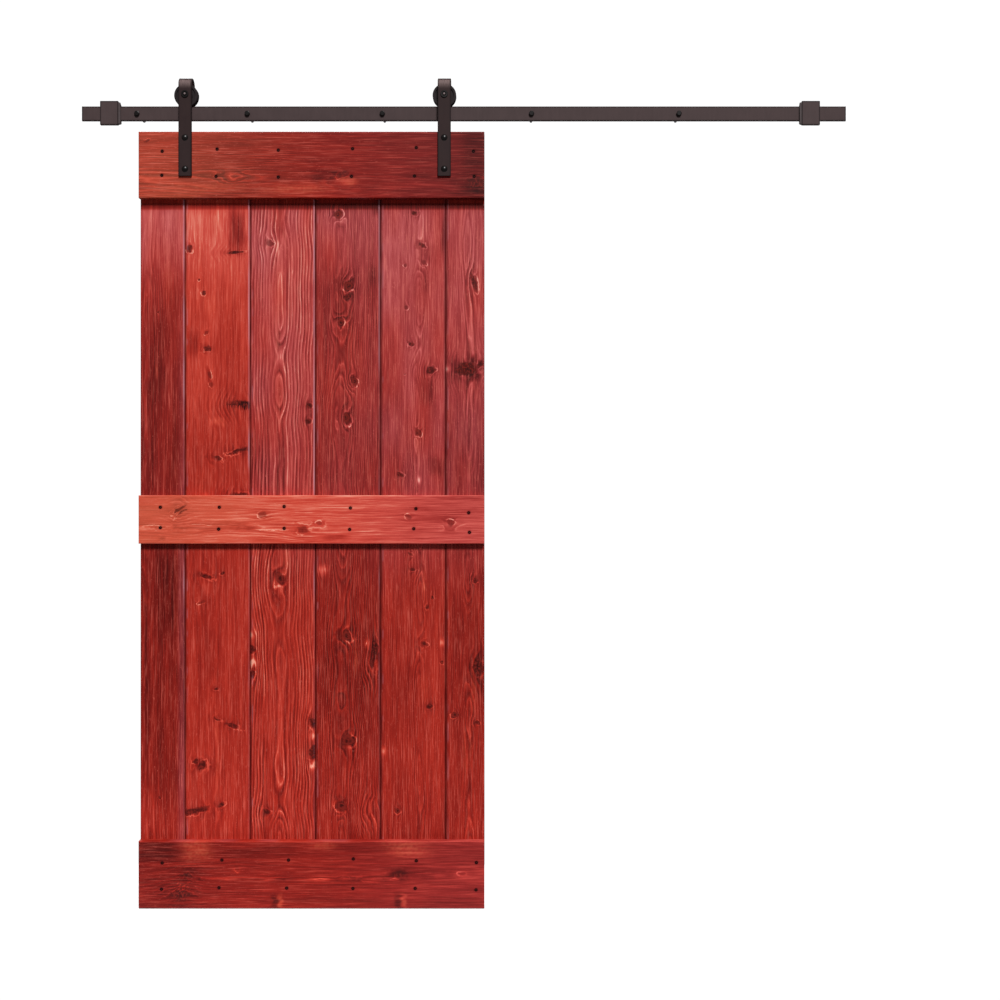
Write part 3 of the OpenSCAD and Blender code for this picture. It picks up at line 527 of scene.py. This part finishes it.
def put_attributes(mesh, **values):
    for name, value in values.items():
        attribute = mesh.attributes.new(name, "FLOAT", "POINT")
        attribute.data.foreach_set("value", np.ascontiguousarray(value, np.float32))


def finish_mesh(mesh, name, material, node, body):
    bm = bmesh.new()
    bm.from_mesh(mesh)
    ends = [f for f in bm.faces if len(f.verts) > 4]
    bmesh.ops.triangulate(bm, faces=ends)
    bmesh.ops.recalc_face_normals(bm, faces=bm.faces)
    bm.to_mesh(mesh)
    bm.free()
    for polygon in mesh.polygons:
        polygon.use_smooth = True
    mesh.set_sharp_from_angle(angle=math.radians(32))
    mesh.materials.append(material)
    piece = bpy.data.objects.new(name, mesh)
    bpy.context.scene.collection.objects.link(piece)
    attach(piece, body)
    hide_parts(node)


def screw_places(node):
    """Centres (x, z) of the screws in a screw node, from its vertices."""
    co = np.array([v.co[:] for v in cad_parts[node].data.vertices])
    heads = co[co[:, 1] < co[:, 1].min() + 0.1 * MM]
    places = []
    for x, _, z in heads:
        for place in places:
            if math.hypot(place[0] / place[2] - x, place[1] / place[2] - z) < 0.02:
                place[0] += x
                place[1] += z
                place[2] += 1
                break
        else:
            places.append([x, z, 1])
    return [(p[0] / p[2], p[1] / p[2]) for p in places]


# ------------------------ wood: material

STAIN = [(0.0, srgb(44, 2, 2)), (0.2, srgb(84, 8, 5)), (0.4, srgb(123, 21, 14)), (0.6, srgb(162, 38, 26)),
         (0.8, srgb(201, 66, 50)), (0.9, srgb(220, 104, 84)), (1.0, srgb(240, 158, 136))]
HAZED = [(0.0, srgb(48, 8, 9)), (0.2, srgb(84, 18, 20)), (0.4, srgb(123, 37, 40)), (0.6, srgb(162, 60, 62)),
         (0.8, srgb(201, 98, 98)), (0.9, srgb(220, 130, 124)), (1.0, srgb(240, 174, 162))]
RAW = srgb(216, 122, 86)
DUST = srgb(205, 104, 90)
KNOT_BLACK = srgb(50, 7, 6)
KNOT_BROWN = srgb(118, 30, 23)
# the dark of the seams and of their painted shade, and of the darker spots on the rails
GRIME_AND_SHADE_COLOUR = srgb(66, 4, 6)
# lilac of the painted reflection on the boards' edges, also of the paler wear along the rails' edges
SHEEN_AND_WEAR = srgb(198, 138, 150)
# How much each feature lightens the stain's tone, or darkens it if below zero
STREAK_TONE = 0.28
STRAND_TONE = 0.48
FIBRE_TONE = 0.16
FLECK_TONE = 0.25
CREST_TONE = 0.42
SHOULDER_TONE = -0.30
RIM_AND_GLINT_TONE = 0.45
# The stain's finish
WOOD_ROUGH = 0.52
WOOD_SHINE = 0.12
WOOD_RELIEF = 0.40   # millimetres


def stained_pine(name, upright):
    """Brushed, stained pine: light ring lines, dark stain in the soft wood, knots with painted highlights on
    their rims, fibres, and seams with painted shade and painted sheen.
    """
    m = Nodes(name)

    def grain(across_mm, depth_mm, along_mm):
        return m.place((across_mm, depth_mm, along_mm) if upright else (along_mm, depth_mm, across_mm))

    fibres = m.noise(grain(1.1, 6, 34), detail=4, roughness=0.65)
    strands = m.noise(grain(2.3, 20, 75), detail=2, roughness=0.7)
    streaks = m.noise(grain(6, 20, 240), detail=4, roughness=0.6, distortion=0.1)
    flecks = m.noise(grain(2.4, 8, 11), detail=3, roughness=0.75)
    flecks = m.curve(flecks, (0.58, 0.0), (0.73, 1.0))
    pores = m.noise(grain(0.7, 3, 9), detail=2, roughness=0.6)
    crumbs = m.noise(m.place((2.2, 2.2, 2.2)), detail=3, roughness=0.6)

    # ring lines: a thin light crest on each growth ring, of its own strength, with a dark shoulder beside it
    ring = m.add(m.attribute("ring"), m.around_zero(fibres, 0.25))
    ring = m.add(ring, m.around_zero(streaks, 0.5))
    phase = m.math("FRACT", ring)
    own = m.add(m.times(m.random(m.math("FLOOR", ring)), 0.75), 0.4)
    crest = m.curve(phase, (0.0, 0.0), (0.52, 0.0), (0.70, 0.35), (0.82, 1.0), (0.94, 0.3), (1.0, 0.0))
    shoulder = m.curve(phase, (0.0, 0.4), (0.14, 1.0), (0.36, 0.3), (0.6, 0.0), (1.0, 0.4))
    gain = m.attribute("gain")
    crest = m.times(m.times(crest, own), gain)
    shoulder = m.times(m.times(shoulder, own), gain)

    # knots: distance 1 is the edge of a knot's heart
    distance = m.add(m.attribute("knot"), m.around_zero(crumbs, 0.5))
    heart = m.times(m.curve(m.times(distance, 0.5), (0.30, 1.0), (0.56, 0.0)), m.attribute("heart"))
    # the rim: a pale ring round the knot, with a painted highlight on one side
    halo = m.curve(m.times(distance, 0.5), (0.50, 0.0), (0.61, 1.0), (0.76, 0.0))
    rim = m.times(halo, m.attribute("rim"))

    # colour: the stain by its tone, with haze, dust and bare wood, then knots, then painted sheen and wear on
    # the edges, then dark seams with painted shade and other darker spots
    tone = m.add(m.attribute("tone"), m.around_zero(streaks, STREAK_TONE))
    tone = m.add(tone, m.around_zero(strands, STRAND_TONE))
    tone = m.add(tone, m.around_zero(fibres, FIBRE_TONE))
    tone = m.add(tone, m.times(m.times(flecks, m.attribute("dusty")), FLECK_TONE))
    tone = m.add(tone, m.times(crest, CREST_TONE))
    tone = m.add(tone, m.times(shoulder, SHOULDER_TONE))
    tone = m.add(tone, m.times(rim, RIM_AND_GLINT_TONE))
    colour = m.mix(m.attribute("haze"), m.colours(tone, *STAIN), m.colours(tone, *HAZED))
    pale = m.math("MAXIMUM", m.curve(strands, (0.53, 0.0), (0.70, 1.0)), flecks)
    dust = m.times(pale, m.attribute("dusty"))
    colour = m.mix(dust, colour, DUST)
    colour = m.mix(m.attribute("raw"), colour, RAW)
    inner = m.curve(distance, (0.0, 0.1), (0.25, 0.0), (0.55, 1.0), (0.85, 0.1))
    lumps = m.curve(m.noise(m.place((7, 7, 7)), detail=3), (0.44, 0.0), (0.62, 0.9))
    inner = m.math("MAXIMUM", m.times(inner, m.attribute("eye")), lumps)
    colour = m.mix(heart, colour, m.mix(inner, KNOT_BLACK, KNOT_BROWN))
    colour = m.mix(m.attribute("wear"), colour, SHEEN_AND_WEAR)
    colour = m.mix(m.attribute("grime"), colour, GRIME_AND_SHADE_COLOUR)
    m.set(base_color=colour)

    rough = m.add(m.times(fibres, 0.14), m.times(crest, -0.10))
    m.set(roughness=m.add(m.add(rough, m.times(heart, -0.12)), WOOD_ROUGH))
    m.shader.inputs["Specular IOR Level"].default_value = WOOD_SHINE
    relief = m.add(m.times(crest, 0.5), m.times(fibres, 0.30))
    relief = m.add(relief, m.times(pores, 0.10))
    relief = m.add(relief, m.times(heart, 0.25))
    m.bump(relief, WOOD_RELIEF, 0.7)
    return m.material


# ------------------------ wood: boards and rails

# Millimetres
ON_FACE = 0.01      # so far behind the face still counts as the face
RIDGE_SINK = 0.16   # how deep the soft wood is brushed out between the rings
HOLLOW_SINK = 0.12
KNOT_SINK = 0.35
NICK_SINK = 1.5
SCREW_SINK = 0.5
END_SINK = 0.8      # at the rails' sawn ends
SCREW_DENT = 5.4    # radius of the dent round a screw

# Shares of a board's height over which its looks change
FOOT_END = (0.09, 0.2)
VEIL_START = (0.38, 0.55)
UPPER_HALF = (0.5, 0.8)
HEAD_START = (0.76, 0.9)
CROWN_START = (0.78, 0.88)

# A painted shadow darkens the boards right under the top rail. Millimetres below it: where it starts, where
# most of it ends, where its faint rest ends, and where the wood's dust and haze come back
SHADOW_START = (6, 16)
SHADOW_END = (22, 30)
SHADOW_TAIL = (28, 46)
SHADOW_ZONE_END = (23, 32)
SHADOW_DARK = (0.33, 0.31, 0.44, 0.58, 0.53, 0.53)   # how much darker each board is there
# Each board's left seam and right seam, a dark joint with painted shade on its bevel: how dark, and how wide
# in millimetres
SEAM_AND_V_SHADE = [(0.3, 1.0, 0.6, 1.6), (0.95, 3.0, 0.6, 1.6), (0.95, 3.0, 0.6, 1.6), (0.95, 3.4, 0.75, 3.4),
             (0.95, 4.4, 0.75, 3.4), (0.9, 4.4, 0.3, 1.5)]
EDGE_SHEEN = (0.75, 0.8, 0.85, 0.7, 0.12, 0.0)   # how strong the painted lilac reflection along each board's right edge is
TOP_EDGE_HIGHLIGHT = {"top_rail": 0.05, "middle_rail": 0.10, "bottom_rail": 0.26}   # painted highlight along each rail's top edge: how much lighter


def sink_of(look, across, along, seed):
    """How far the face lies below its plane, in millimetres: between the rings, in hollows and at knots."""
    ridges = 0.5 + 0.5 * np.sin(2 * np.pi * look.ring)
    hollows = 0.5 + 0.5 * soft_noise(across, along, 30, 180, seed)
    knots = look.heart * (1 - smoothstep(look.knot, 0.7, 1.1))
    knots = knots * (0.5 + 0.5 * soft_noise(across, along, 3, 3, seed + 1))
    return RIDGE_SINK * ridges * look.gain + HOLLOW_SINK * hollows + KNOT_SINK * knots


def nicks(edge, along, cell, seed):
    """Small chips along an edge, in millimetres."""
    chipped = np.clip(soft_noise(along * 0, along, 1, cell, seed) - 0.42, 0, 1)
    return NICK_SINK * bell(edge, 2.5) * chipped


def put_look(mesh, look, **others):
    put_attributes(mesh, ring=look.ring, knot=look.knot, heart=look.heart, rim=look.rim, eye=look.eye,
                   **others)


def make_board(index, material):
    node = "board_%d" % (index + 1)
    wood = SimpleNamespace(**{**PLAIN, **BOARD_WOOD[index]})
    low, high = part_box(node)
    section, left, right = board_section(index, low, high)
    mesh, p, q, r = loft(node + "_wood", section, spread(low[2], high[2], ROW_STEP))
    width = (right - left) / MM
    height = (high[2] - low[2]) / MM
    across = (p - left) / MM
    along = (r - low[2]) / MM
    behind = (q - low[1]) / MM
    look = grow(wood, across, along, width, behind)
    share = along / height
    front = behind < 1.5 * V_FACE / MM   # the face and the V at its sides
    from_right = width - across

    head = wood.head * smoothstep(share, *HEAD_START) + wood.rise * smoothstep(share, *UPPER_HALF)
    foot = wood.foot * (1 - smoothstep(share, *FOOT_END))
    veil = wood.haze * smoothstep(share, *VEIL_START)
    veil = veil + (wood.crown - wood.haze) * smoothstep(share, *CROWN_START)
    veil = veil + wood.edge_haze * bell(from_right - 8, 9) * smoothstep(share, 0.9, 0.45)   # fades upwards
    veil = veil * (1 + 0.5 * soft_noise(across, along, 40, 120, wood.seed * 5))

    # a dark seam at each side with painted shade on its bevel, a painted lilac reflection near the right one,
    # and a broken painted highlight along the left one
    patchy = 0.75 + 0.25 * soft_noise(across, along, 5, 34, wood.seed * 7)
    left_dark, left_wide, right_dark, right_wide = SEAM_AND_V_SHADE[index]
    seam_and_shade = left_dark * bell(np.maximum(across - 2, 0), left_wide)
    seam_and_shade = seam_and_shade + right_dark * bell(from_right, right_wide)
    # painted reflection: lilac sheen on the right edge's bevel; painted highlight: a broken light line near
    # the left edge
    upward = soft_noise(along * 0, along, 1, 90, wood.seed * 9) + 3.2 * (share - 0.55)
    painted_sheen = EDGE_SHEEN[index] * (0.10 + 0.9 * smoothstep(upward, -0.6, 1.0))
    painted_sheen = painted_sheen * bell(np.maximum(from_right - 3.6, 0), 1.0)
    painted_sheen = painted_sheen * smoothstep(from_right, 0.4, 1.4)
    chipped = smoothstep(soft_noise(along * 0, along, 1, 26, wood.seed * 17), 0.1, 0.8)
    painted_sheen = painted_sheen + 0.28 * chipped * bell(across - 7, 1.6) * (index > 0)
    grime = np.where(front, seam_and_shade * patchy, 0.12)
    wear = np.where(front, painted_sheen * patchy, 0)

    # the painted shadow under the top rail, where the wood is also clear of dust and haze
    under = (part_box("top_rail")[0][2] - r) / MM
    band = front & (under > -3)
    painted_shadow = 0.85 * (1 - smoothstep(under, *SHADOW_END)) + 0.15 * (1 - smoothstep(under, *SHADOW_TAIL))
    painted_shadow = band * painted_shadow * smoothstep(under, *SHADOW_START)
    # clear: the core of the painted shadow, where the dust and haze are taken out
    clear = band * (1 - smoothstep(under, *SHADOW_ZONE_END))
    tone = (wood.tone + look.tone + head + foot) * (1 - SHADOW_DARK[index] * painted_shadow - 0.12 * clear)
    veil = np.clip(veil, 0, 1) * (1 - 0.9 * clear)

    edge = np.minimum(across, from_right)
    sink = sink_of(look, across, along, wood.seed * 11) + nicks(edge, along, 14, wood.seed * 13)
    co = np.stack([p, q + np.where(behind < ON_FACE, sink * MM, 0), r], axis=1)
    mesh.vertices.foreach_set("co", co.ravel())
    raw = np.clip(0.7 * look.bare, 0, 1) * (1 - clear)
    dusty = (wood.dusty + 0.12 * veil) * (1 - 0.9 * clear)
    gain = look.gain * (1 - 0.5 * clear)
    put_look(mesh, look, gain=gain, tone=tone, haze=veil, dusty=dusty, raw=raw, grime=np.clip(grime, 0, 1),
             wear=np.clip(wear, 0, 1))
    finish_mesh(mesh, node + "_wood", material, node, "door")


def make_rail(node, material):
    wood = SimpleNamespace(**{**PLAIN, **RAIL_WOOD[node]})
    low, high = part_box(node)
    mesh, p, q, r = loft(node + "_wood", rail_section(low, high), spread(low[0], high[0], RAIL_STEP))
    width = (high[2] - low[2]) / MM
    length = (high[0] - low[0]) / MM
    across = (p - low[2]) / MM
    along = (r - low[0]) / MM
    behind = (q - low[1]) / MM
    look = grow(wood, across, along, width, behind)
    share = along / length
    from_top = width - across
    edge = np.minimum(across, from_top)
    ends = wood.foot * (1 - smoothstep(share, 0.0, 0.3)) + wood.head * smoothstep(share, 0.6, 1.0)
    raw = wood.raw * (1 - smoothstep(share, 0.02, 0.55))
    raw = raw * (1 + 0.4 * soft_noise(across, along, 30, 120, wood.seed * 5)) + look.bare
    veil = wood.haze * smoothstep(share, 0.45, 1.0)
    # painted highlight along the rail's top edge
    top_edge_highlight = TOP_EDGE_HIGHLIGHT[node] * bell(np.maximum(from_top - 1.0, 0), 2.2)
    # darker along the rail's lower edge, and round each screw
    grime = 0.25 * bell(across, 1.6) * (0.6 + 0.4 * soft_noise(across, along, 6, 30, wood.seed * 7))
    dent = np.zeros_like(across)
    for x, z in screw_places(node + "_screws"):
        distance = np.hypot(r - x, p - z) / MM
        dent = np.maximum(dent, np.exp(-(distance / SCREW_DENT) ** 4))
        grime = np.maximum(grime, 0.85 * np.exp(-(distance / SCREW_DENT) ** 6))
    # paler along both long edges
    wear = 0.10 * bell(edge, 1.6) * smoothstep(soft_noise(along * 0, along, 1, 60, wood.seed * 9), 0, 0.8)
    end = np.minimum(along, length - along)
    sink = sink_of(look, across, along, wood.seed * 11) + nicks(edge, along, 16, wood.seed * 13)
    sink = sink + SCREW_SINK * dent + END_SINK * bell(end, 2.0)
    co = np.stack([r, q + np.where(behind < ON_FACE, sink * MM, 0), p], axis=1)
    mesh.vertices.foreach_set("co", co.ravel())
    tone = wood.tone + look.tone + ends + top_edge_highlight
    dusty = wood.dusty * (1.3 - 0.9 * smoothstep(share, 0.05, 0.9))
    put_look(mesh, look, gain=look.gain, tone=tone, haze=np.clip(veil, 0, 1), dusty=dusty,
             raw=np.clip(raw, 0, 1), grime=np.clip(grime, 0, 1), wear=np.clip(wear, 0, 1))
    finish_mesh(mesh, node + "_wood", material, node, "door")


# ------------------------ metal, rubber

ARRIS_SHADE = srgb(30, 21, 22)      # painted shade along the edges of the track, stops and straps, and on the top of a strap's bend
BEND_HIGHLIGHT = srgb(128, 108, 106)   # painted highlight just below the top of a strap's bend
HIGHLIGHT_SPOT = 2.6                    # radius of the painted highlight in the middle of an axle bolt's head, in millimetres
HIGHLIGHT_DEPTH = 3                     # how deep it goes


def coated_steel(name, base, light, rough=0.6, shine=0.1, bump=0.10, shaded_arrises=(), bend_top=None):
    """Powder-coated steel with a fine orange-peel skin and faint rubbed patches. arrises: (axis, low, high)
    of faces along whose edges painted shade darkens the coat. bend_top: the height of a bend, with a painted
    highlight just below its top and painted shade on the top itself."""
    m = Nodes(name)
    peel = m.noise(m.place((1.6, 1.6, 1.6)), detail=2)
    patches = m.noise(m.place((38, 38, 38)), detail=5, roughness=0.62)
    rub = m.noise(m.place((9, 9, 60)), detail=4, roughness=0.6)
    share = m.add(m.add(m.around_zero(patches, 1.1), m.around_zero(rub, 0.7)), 0.5)
    colour = m.colours(share, (0.1, base), (0.9, light))
    # painted highlight in a streaky band just below the bend's top, and painted shade on the top itself
    if bend_top is not None:
        below = m.times(m.inside("Z", -1, bend_top), 0.02)
        band = m.curve(below, (0.10, 0.0), (0.20, 1.0), (0.27, 1.0), (0.70, 0.0))
        highlight_streaks = m.noise(m.place((1.3, 30, 16)), detail=3, roughness=0.7)
        band = m.times(band, m.curve(highlight_streaks, (0.3, 0.35), (0.7, 1.0)))
        colour = m.mix(band, colour, BEND_HIGHLIGHT)
        colour = m.mix(m.curve(below, (0.09, 0.85), (0.15, 0.0)), colour, ARRIS_SHADE)
    # painted shade along the edges of these faces
    for axis, low, high in shaded_arrises:
        dark = m.curve(m.times(m.inside(axis, low, high), 0.1), (0.20, 0.75), (0.40, 0.0))
        colour = m.mix(dark, colour, ARRIS_SHADE)
    m.set(base_color=colour)
    m.set(roughness=m.add(m.times(patches, 0.22), rough - 0.1))
    m.shader.inputs["Specular IOR Level"].default_value = shine
    m.bump(m.add(m.times(peel, 0.8), m.times(patches, 0.5)), bump, 0.6)
    return m.material


def bright_steel(name, base, rough=0.25):
    """Ground steel with fine turning marks."""
    m = Nodes(name)
    marks = m.noise(m.place((30, 0.35, 30)), detail=3, roughness=0.7)
    m.set(base_color=m.colours(marks, (0.3, tuple(0.75 * c for c in base[:3]) + (1,)), (0.7, base)))
    m.set(roughness=m.add(m.times(marks, 0.2), rough))
    m.set(metallic=1.0)
    m.bump(marks, 0.03, 0.5)
    return m.material


def rubber(name):
    m = Nodes(name)
    dust = m.noise(m.place((12, 12, 12)), detail=5, roughness=0.65)
    grit = m.noise(m.place((0.8, 0.8, 0.8)), detail=2)
    m.set(base_color=m.colours(dust, (0.3, srgb(60, 49, 50)), (0.75, srgb(74, 62, 62))))
    m.set(roughness=m.add(m.times(grit, 0.15), 0.68))
    m.bump(grit, 0.08, 0.6)
    return m.material


def dress(nodes, material):
    for node in nodes:
        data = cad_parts[node].data
        data.materials.clear()
        data.materials.append(material)


def dress_part(nodes, material, chosen):
    """A second material on the faces for which chosen(centre in millimetres) holds."""
    for node in nodes:
        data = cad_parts[node].data
        data.materials.append(material)
        for polygon in data.polygons:
            if chosen(polygon.center / MM):
                polygon.material_index = len(data.materials) - 1


def both(*names):
    return [n + "_" + side for n in names for side in ("left", "right")]


def dress_hardware():
    numbers = range(1, 6)
    low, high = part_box("track_bar")
    dress(["track_bar"], coated_steel("track_coat", srgb(66, 53, 53), srgb(76, 62, 62),
                                      shaded_arrises=[("Z", low[2], high[2]), ("X", low[0], high[0])]))
    for side in ("left", "right"):
        clamp = "stop_%s_clamp" % side
        low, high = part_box(clamp)
        dress([clamp], coated_steel("stop_%s_coat" % side, srgb(68, 55, 55), srgb(78, 65, 65),
                                    shaded_arrises=[("Z", low[2], high[2]), ("X", low[0], high[0])]))
        strap = "hanger_strap_" + side
        low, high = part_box(strap)
        dress([strap], coated_steel("strap_%s_coat" % side, srgb(43, 30, 31), srgb(51, 37, 36), 0.55, 0.1,
                                    shaded_arrises=[("X", low[0], high[0])], bend_top=high[2]))
    dress(both("wheel"), coated_steel("wheel_coat", srgb(30, 25, 26), srgb(46, 39, 40)))
    dress(["spacer_%d" % k for k in numbers], coated_steel("spacer_coat", srgb(44, 38, 38), srgb(66, 56, 56)))
    black = coated_steel("black_oxide", srgb(9, 6, 6), srgb(18, 13, 13), 0.30, 0.35, 0.04)
    zinc = bright_steel("zinc", srgb(205, 207, 210), 0.35)
    lags = ["lag_bolt_%d" % k for k in numbers]
    dress(lags + both("carriage_bolts", "bolt_washers", "bolt_nuts", "axle_bolt", "axle_nut"), black)
    dress_part(lags, zinc, lambda centre: centre.y > 0)   # the shanks, in the wall
    dress(["stop_left_grub_screws", "stop_right_grub_screws"], black)
    screw_black = coated_steel("screw_black", srgb(9, 2, 2), srgb(16, 6, 6), 0.6, 0.05)
    dress([rail + "_screws" for rail in RAIL_WOOD], screw_black)
    # a painted highlight in the middle of each axle bolt's dome head
    painted_sheen = coated_steel("highlight_head", srgb(104, 90, 90), srgb(132, 116, 116), 0.5, 0.3)
    for node in both("axle_bolt"):
        low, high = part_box(node)
        x, z = (low[0] + high[0]) / 2 / MM, (low[2] + high[2]) / 2 / MM
        front = low[1] / MM
        dress_part([node], painted_sheen,
                   lambda c: math.hypot(c.x - x, c.z - z) < HIGHLIGHT_SPOT and c.y < front + HIGHLIGHT_DEPTH)
    steel = bright_steel("bearing_steel", srgb(190, 190, 192))
    dress(both("axle_bush_front", "axle_bush_rear"), steel)
    dress(both("bearing_inner", "bearing_outer", "bearing_balls", "circlip"), steel)
    dress(both("bearing_cage"), bright_steel("cage_brass", srgb(190, 148, 82), 0.35))
    dress(["stop_left_bumper", "stop_right_bumper"], rubber("bumper_rubber"))


# ------------------------ camera, light and floor

CAMERA_DISTANCE = 3.296   # from the rails' faces
CAMERA_RIGHT = 0.518      # of the leaf's middle
CAMERA_UP = 0.055         # above the leaf's middle
LENS_MM = 43.2
SENSOR_MM = 36
KEY_SUN = dict(strength=3.75, elevation=43, azimuth=15, width=14)
BACK_SUN = dict(strength=1.6, elevation=35, azimuth=200, width=30)
SKY = 0.18                # the room's strength as a light
BACKDROP = 1.05           # and as the camera sees it
FLOOR_HALF = (0.75, 0.35)
FLOOR_DROP = 0.002        # below the leaf's foot
FLOOR_PALE = (0.85, 0.85, 0.85, 1)
FLOOR_GLOW = 0.30


def set_camera(low, high, middle_z):
    data = bpy.data.cameras.new("camera")
    data.lens = LENS_MM
    data.sensor_width = SENSOR_MM
    camera = bpy.data.objects.new("camera", data)
    camera.location = ((low[0] + high[0]) / 2 + CAMERA_RIGHT, low[1] - CAMERA_DISTANCE, middle_z + CAMERA_UP)
    camera.rotation_euler = (math.radians(90), 0, 0)
    bpy.context.scene.collection.objects.link(camera)
    bpy.context.scene.camera = camera


def set_floor(x, z):
    """A pale floor under the leaf."""
    floor_mesh = bpy.data.meshes.new("floor")
    wide, deep = FLOOR_HALF
    corners = [(x - wide, -deep, z), (x + wide, -deep, z), (x + wide, deep, z), (x - wide, deep, z)]
    floor_mesh.from_pydata(corners, [], [(0, 1, 2, 3)])
    m = Nodes("floor_paint")
    m.set(base_color=FLOOR_PALE, roughness=0.9)
    m.shader.inputs["Emission Color"].default_value = (1, 1, 1, 1)
    m.shader.inputs["Emission Strength"].default_value = FLOOR_GLOW
    floor_mesh.materials.append(m.material)
    floor = bpy.data.objects.new("floor", floor_mesh)
    bpy.context.scene.collection.objects.link(floor)


def set_world():
    """A soft white room: dim as a light, plain white where the camera sees it."""
    world = bpy.data.worlds.new("studio")
    world.use_nodes = True
    tree = world.node_tree
    tree.nodes.clear()
    out = tree.nodes.new("ShaderNodeOutputWorld")
    soft = tree.nodes.new("ShaderNodeBackground")
    soft.inputs[1].default_value = SKY
    seen = tree.nodes.new("ShaderNodeBackground")
    seen.inputs[1].default_value = BACKDROP
    for background in (soft, seen):
        background.inputs[0].default_value = (1, 1, 1, 1)
    path = tree.nodes.new("ShaderNodeLightPath")
    mix = tree.nodes.new("ShaderNodeMixShader")
    tree.links.new(path.outputs["Is Camera Ray"], mix.inputs[0])
    tree.links.new(soft.outputs[0], mix.inputs[1])
    tree.links.new(seen.outputs[0], mix.inputs[2])
    tree.links.new(mix.outputs[0], out.inputs[0])
    bpy.context.scene.world = world


def sun(name, strength, elevation, azimuth, width):
    """A soft sun of so many W/m2: azimuth 0 shines from the room on the leaf's face, positive from the right.
    width: its disc's angle."""
    data = bpy.data.lights.new(name, "SUN")
    data.energy = strength
    data.angle = math.radians(width)
    light = bpy.data.objects.new(name, data)
    light.rotation_euler = (math.radians(90 - elevation), 0, math.radians(azimuth))
    bpy.context.scene.collection.objects.link(light)


def set_stage():
    low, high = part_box("top_rail")
    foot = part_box("bottom_rail")[0][2]
    set_camera(low, high, (high[2] + foot) / 2)
    set_floor((low[0] + high[0]) / 2, foot - FLOOR_DROP)
    set_world()
    sun("key_light", **KEY_SUN)
    sun("back_light", **BACK_SUN)
    bpy.context.scene.view_settings.view_transform = "Standard"


set_stage()
dress_hardware()
board_pine = stained_pine("board_pine", True)
for board_index in range(len(BOARD_WOOD)):
    make_board(board_index, board_pine)
rail_pine = stained_pine("rail_pine", False)
for rail_node in RAIL_WOOD:
    make_rail(rail_node, rail_pine)
